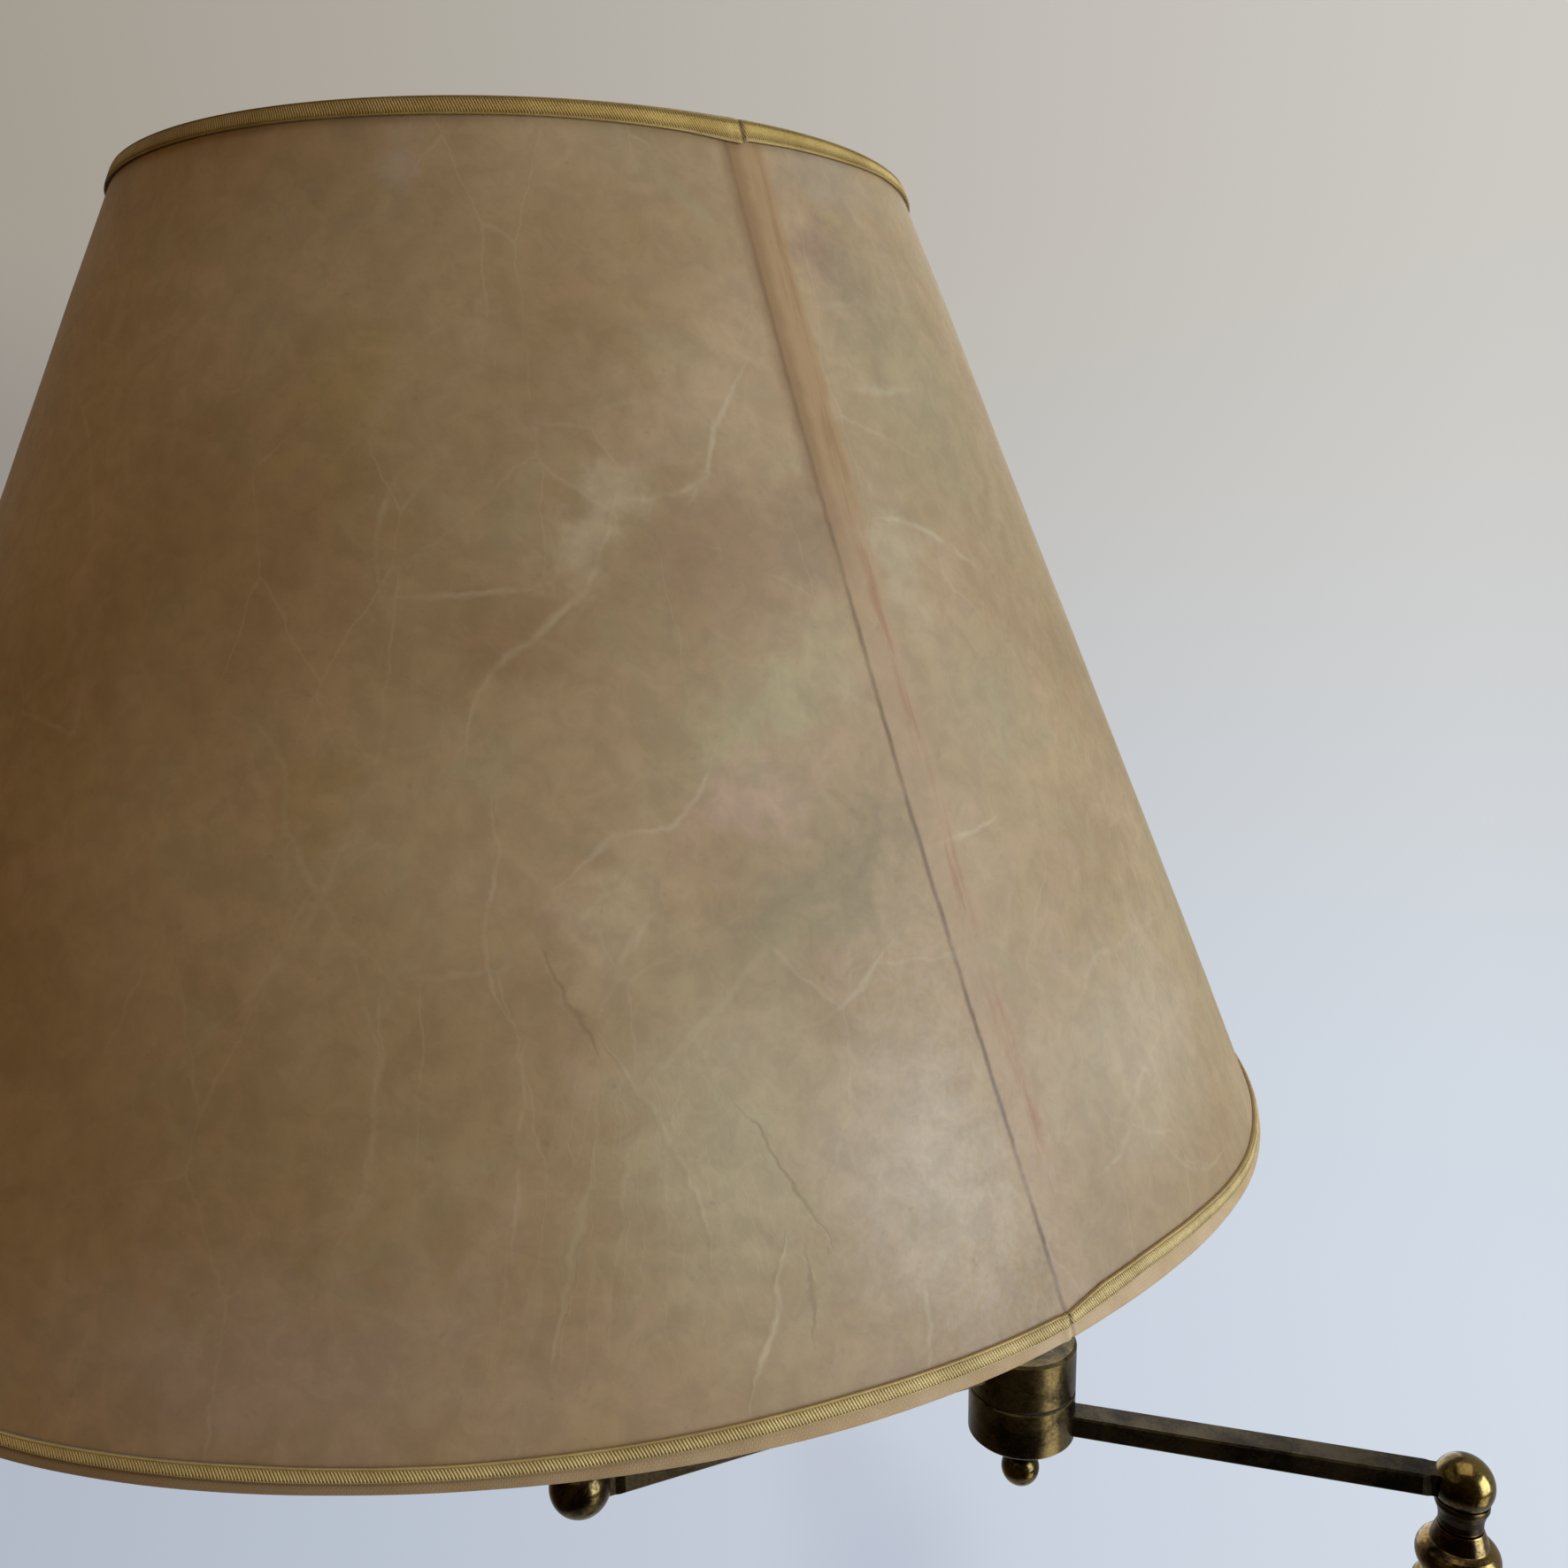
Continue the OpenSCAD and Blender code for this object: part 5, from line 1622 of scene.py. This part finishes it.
@dataclass
class Metalwork:
    """The CAD nodes that keep their shape and get their finish here."""

    nodes: dict[str, bpy.types.Object]
    finishes: dict[str, Finish] = field(default_factory=dict)

    def __post_init__(self) -> None:
        """Chooses the finish of each node."""
        aged = Brass("aged_brass_stand", mid="75603a", dark="4a3b22", rough=0.27)
        turned = Brass("aged_brass_turned", mid="77633c", dark="3f321b", rough=0.2, cloud=80.0, lines=0.5)
        bars = Brass("aged_brass_bars", mid="534834", dark="241e15", bright="8f7d56", rough=0.34, cloud=40.0,
                     wear=0.0008)
        balls = Brass("aged_brass_balls", mid="86703d", dark="33281a", rough=0.17, cloud=70.0, lines=0.1)
        drum = Brass("aged_brass_drum", mid="756542", dark="2b2416", rough=0.28, cloud=65.0, lines=0.7,
                     wear=0.0007, rub=0.3)
        # A much darker copy of the brass for the neck below the stem ball: painted shade under the ball.
        neck = Brass("shaded_brass_neck", mid="3c3120", dark="191410", rough=0.3, cloud=90.0)
        bead = Brass("aged_brass_bead", mid="8a7040", dark="33251c", rough=0.2, cloud=70.0)
        socket = Brass("drawn_brass_socket", mid="86703e", dark="4a3b20", rough=0.25, lines=0.6)
        bright = Brass("bright_brass", dark="8f7438", mid="c1a056", bright="e0c47c", rough=0.22)
        steel = PlainMetal("zinc_steel", "8b8b88", 0.38)
        black_steel = PlainMetal("black_steel", "2c2c2d", 0.4)
        table: list[tuple[Finish, Sequence[str]]] = [
            (aged, ("base_cover", "stem_lower_tube", "stem_upper_tube")),
            (turned, ("stem_foot", "stem_coupling", "stem_capital", "holder_collar", "holder_sleeve")),
            (bars, ("lower_arm_bar", "upper_arm_bar")),
            (balls, ("stem_ball", "holder_ball", "elbow_knob")),
            (drum, ("elbow_lower_drum", "elbow_upper_drum")),
            (neck, ("swivel_neck", "elbow_bolt")),
            (bead, ("stem_bead",)),
            (socket, ("socket_cup", "socket_shell")),
            (bright, ("socket_screw_shell", "socket_contact", "socket_terminals", "switch_spindle")),
            (steel, ("base_washer", "base_nut", "tie_rod", "elbow_spring_washer", "holder_rod")),
            (black_steel, ("swivel_grub_screw",)),
            (PlainMetal("solder", "9a9a96", 0.42), ("bulb_contact",)),
            (Solid("pressed_fibre", "2b1d16", "1a120e", 0.65), ("elbow_washer",)),
            (Solid("iron_weight", "3a3a3b", "262627", 0.6, grain=500.0, depth=0.0002), ("base_weight",)),
            (Solid("wool_felt", "2c3830", "1e2822", 0.9, grain=1800.0, depth=0.0002), ("base_felt",)),
            (Solid("inlet_moulding", "201d1b", "151312", 0.45), ("cord_inlet_bush",)),
            (Solid("wire_sheath", "2a2624", "1c1917", 0.6),
             ("stem_wire", "lower_arm_wire", "upper_arm_wire")),
            (Solid("porcelain", "e8e3d6", "d9d2c0", 0.2, 0.6, 200.0, 0.00001), ("socket_insert",)),
            (Solid("ring_moulding", "2a221d", "1d1713", 0.35, 0.2),
             ("switch_body", "shade_seat_ring", "shade_clamp_ring")),
            (Solid("white_enamel", "ddd8ca", "c9c1ad", 0.35, 0.3, chips=0.5),
             ("shade_spider", "shade_top_wire")),
            (Solid("lining_board", "e6dcc6", "d6c8a8", 0.6, grain=1200.0, depth=0.00004, cloud=9.0),
             ("shade_lining",)),
        ]
        self.finishes = {node: finish for finish, names in table for node in names}

    def dress(self) -> None:
        """Gives each node its finish."""
        for name, finish in self.finishes.items():
            slots = self.nodes[name].data.materials
            slots.clear()
            slots.append(finish.material())
            LOG.info("%s: %s", name, finish.name)


# ---------------------------------------------------------------- studio


# Painted soft shadows of the lamp on the backdrop: where each falls, as shares of the picture's width and
# height, its inner and outer reach, its colour and its strength.
WALL_SHADOWS = (
    ((-0.02, 0.31), 0.02, 0.16, "8b837c", 0.55),
    ((0.56, 1.0), 0.0, 0.09, "b3b9cb", 0.55),
    ((0.53, 0.93), 0.0, 0.06, "b9bccb", 0.4),
)


@dataclass
class Studio:
    """The camera, the floor, the backdrop and the lights."""

    camera_at: tuple[float, float, float] = (-0.0958, -0.47868, 1.3645)
    heading: float = 16.639
    pitch: float = 10.406
    roll: float = -0.702
    focal: float = 1600.0
    frame_px: float = 1772.0
    floor_r: float = 1.12

    def axes(self) -> tuple[Vector, Vector, Vector]:
        """Gives the level directions of the view: right, forward and up.

        Returns:
            Three unit vectors.
        """
        a = math.radians(self.heading)
        right = Vector((math.cos(a), math.sin(a), 0))
        return right, Vector((-right.y, right.x, 0)), Vector((0, 0, 1))

    def view_axes(self) -> tuple[Vector, Vector, Vector]:
        """Gives the camera's own directions: its right, its top and ahead.

        Returns:
            Three unit vectors.
        """
        right, level, up = self.axes()
        p, r = math.radians(self.pitch), math.radians(self.roll)
        ahead = level * math.cos(p) - up * math.sin(p)
        top = right.cross(ahead)
        side = right * math.cos(r) + top * math.sin(r)
        return side, side.cross(ahead), ahead

    def towards(self, x: float, y: float) -> Vector:
        """Gives the direction from the camera through a point of its picture.

        Args:
            x: The point's distance from the left edge, as a share of the picture's width.
            y: Its distance from the top edge, in the same unit.

        Returns:
            The direction, of length 1.
        """
        side, top, ahead = self.view_axes()
        reach = self.frame_px / self.focal
        return (ahead + side * (x - 0.5) * reach - top * (y - 0.5) * reach).normalized()

    def camera(self) -> None:
        """Makes the camera at the photographer's place."""
        side, top, ahead = self.view_axes()
        data = bpy.data.cameras.new("camera")
        data.sensor_width = 36.0
        data.lens = 36.0 * self.focal / self.frame_px
        data.clip_start = 0.01
        camera = linked("camera", data)
        columns = Matrix((side, top, -ahead)).transposed().to_4x4()
        camera.matrix_world = Matrix.Translation(self.camera_at) @ columns
        bpy.context.scene.camera = camera

    def wall_colour(self, t: Tree, direction: Socket) -> Socket:
        """Gives the backdrop's colour along a direction: warm above, cool below, lighter on the right as
        painted window light, with painted soft shadows of the lamp.

        Args:
            t: The world's or the floor's tree.
            direction: The direction, of length 1.

        Returns:
            The colour.
        """
        right = self.axes()[0]
        across = t.vector("DOT_PRODUCT", direction, tuple(right))
        share = t.span(across, -0.44, 0.44, smooth=False)
        low = t.mix(share, tone("b2bac8"), tone("d3dce7"))
        high = t.mix(share, tone("a49d92"), tone("cdcac4"))
        wall = t.mix(t.span(t.split(direction)[2], -0.5, 0.22), low, high)
        for place, inner, outer, colour, amount in WALL_SHADOWS:
            away = t.vector("LENGTH", t.vector("SUBTRACT", direction, tuple(self.towards(*place))))
            wall = t.mix(t.times(t.span(away, outer, inner), amount), wall, tone(colour))
        return wall

    def world(self) -> None:
        """Makes the room: the backdrop that the camera sees and the dim light from all round."""
        world = bpy.data.worlds.new("room")
        bpy.context.scene.world = world
        world.use_nodes = True
        t = Tree(world.node_tree)
        background = world.node_tree.nodes["Background"]
        direction = t.add("ShaderNodeTexCoord").outputs["Generated"]
        right, level, _ = self.axes()
        shown = self.wall_colour(t, direction)
        ahead = t.vector("DOT_PRODUCT", direction, tuple(level))
        side = t.vector("DOT_PRODUCT", direction, tuple(right))
        facing = t.plus(t.times(ahead, 0.7), t.times(side, 0.6))
        room = t.mix(t.span(facing, -0.5, 0.6), tone("50422e"), tone("cdcfd0"))
        rays = t.add("ShaderNodeLightPath")
        seen = rays.outputs["Is Camera Ray"]
        t.fill(background, {"Color": t.mix(seen, room, shown), "Strength": t.span(seen, 0.0, 1.0, 0.62, 1.0)})

    def floor(self) -> None:
        """Makes the pale floor, a disc that fades into the backdrop."""
        rings, count = 10, 96
        points = [(*ring, 0.0) for j in range(1, rings + 1)
                  for ring in arc((0, 0), self.floor_r * j / rings, 0, 360, count)[:-1]]
        faces = [tuple(range(count))]
        for start in range(0, (rings - 1) * count, count):
            for i in range(count):
                n = (i + 1) % count
                faces.append((start + i, start + count + i, start + count + n, start + n))
        mesh = bpy.data.meshes.new("floor")
        mesh.from_pydata(points, [], faces)
        material = bpy.data.materials.new("pale_floor")
        material.use_nodes = True
        t = Tree(material.node_tree)
        shader, output = (material.node_tree.nodes[name] for name in ("Principled BSDF", "Material Output"))
        t.fill(shader, {"Base Color": tone("d4d3d1"), "Roughness": 0.8})
        place = t.add("ShaderNodeTexCoord").outputs["Object"]
        edge = t.span(t.vector("LENGTH", place), self.floor_r * 0.55, self.floor_r * 0.99)
        clear = t.add("ShaderNodeBsdfTransparent").outputs[0]
        blend = t.add("ShaderNodeMixShader", {0: edge, 1: shader.outputs[0], 2: clear})
        t.feed(output.inputs[0], blend.outputs[0])
        mesh.materials.append(material)
        floor = linked("floor", mesh)

    def lamp(self, name: str, at: Vector, target: Vector, size: Point, power: float, colour: str,
             mirrored: bool = True) -> None:
        """Makes one soft rectangular light that the camera doesn't see.

        Args:
            name: Its name.
            at: Its place.
            target: What it faces.
            size: Its width and height, in metres.
            power: Its power, in watts.
            colour: Its colour.
            mirrored: Whether it shows in reflections.
        """
        data = bpy.data.lights.new(name, "AREA")
        data.shape = "RECTANGLE"
        data.size, data.size_y = size
        data.energy = power
        data.color = tone(colour)[:3]
        lamp = linked(name, data)
        lamp.location = at
        lamp.rotation_mode = "QUATERNION"
        lamp.rotation_quaternion = (target - at).to_track_quat("-Z", "Y")
        lamp.visible_camera = False
        lamp.visible_glossy = mirrored

    def lights(self) -> None:
        """Makes the window on the right, the wall's glow behind and a weak fill in front."""
        right, level, up = self.axes()
        middle = Vector((-0.2, -0.05, 1.2))
        elbow = Vector((-0.15, 0.0, 1.04))
        foot = Vector((0, 0, 0))
        window_at = middle + Vector((1.72, -0.32, 0.15))
        fill_at = middle - level * 1.6 - right * 1.4 + up * 0.3
        self.lamp("window", window_at, middle, (1.1, 1.25), 36.0, "d3e6ff")
        self.lamp("lit_floor", Vector((1.3, -0.42, 0.12)), elbow, (0.9, 0.7), 5.0, "f2f0e6")
        self.lamp("wall_glow", middle + level * 1.9 + up * 0.2, middle, (1.8, 1.8), 16.0, "f4f4f4")
        self.lamp("room_fill", fill_at, middle, (1.2, 1.2), 6.5, "ffdba6", mirrored=False)
        self.lamp("ceiling", Vector((0.0, 0.0, 2.9)), foot, (1.6, 1.6), 9.0, "fbf8f2")

    def build(self) -> None:
        """Makes everything that isn't part of the lamp."""
        self.camera()
        self.world()
        self.floor()
        self.lights()


def main() -> None:
    """Builds the scene: the studio, the dressed CAD nodes and the pieces that replace some of them."""
    logging.basicConfig(level=logging.INFO, format="%(name)s %(message)s")
    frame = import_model()
    scene = bpy.context.scene
    scene.view_settings.view_transform = "Standard"
    Studio().build()
    Metalwork(frame["nodes"]).dress()
    cone = Cone()
    LeatherShade(cone).leather()
    trims = (
        RimTrim(cone, "bottom", tape_h=5.0 * MM, braid_low=2.4 * MM, braid_high=5.2 * MM, joint=-35.4,
                edges=LOWER_EDGES, tape_colours=("c2a173", "ae8a58"), tape_slot=Slot.TAN_TAPE,
                thread=GoldThread("bottom_thread", "cdb070", "b3975a", upper_brown_and_shade=0.1, lower_edge_shade=0.2, painted_shade=0.12),
                thread_slot=Slot.GOLD),
        RimTrim(cone, "top", tape_h=4.5 * MM, braid_low=cone.height - 4.6 * MM,
                braid_high=cone.height - 0.5 * MM, joint=-37.2, edges=UPPER_EDGES,
                tape_colours=("9c7d45", "7c6030"), tape_slot=Slot.BROWN_TAPE,
                thread=GoldThread("top_thread", "cba95c", "b08d45", upper_brown_and_shade=0.6, lower_edge_shade=0.38, painted_shade=0.5),
                thread_slot=Slot.GOLD_BRIGHT, notch=0.8),
    )
    for trim in trims:
        trim.tape_piece()
        trim.braid_piece()
    bulb = Bulb()
    bulb.cap()
    bulb.glass()
    SwitchKnob().knob()


if __name__ == "__main__":
    main()
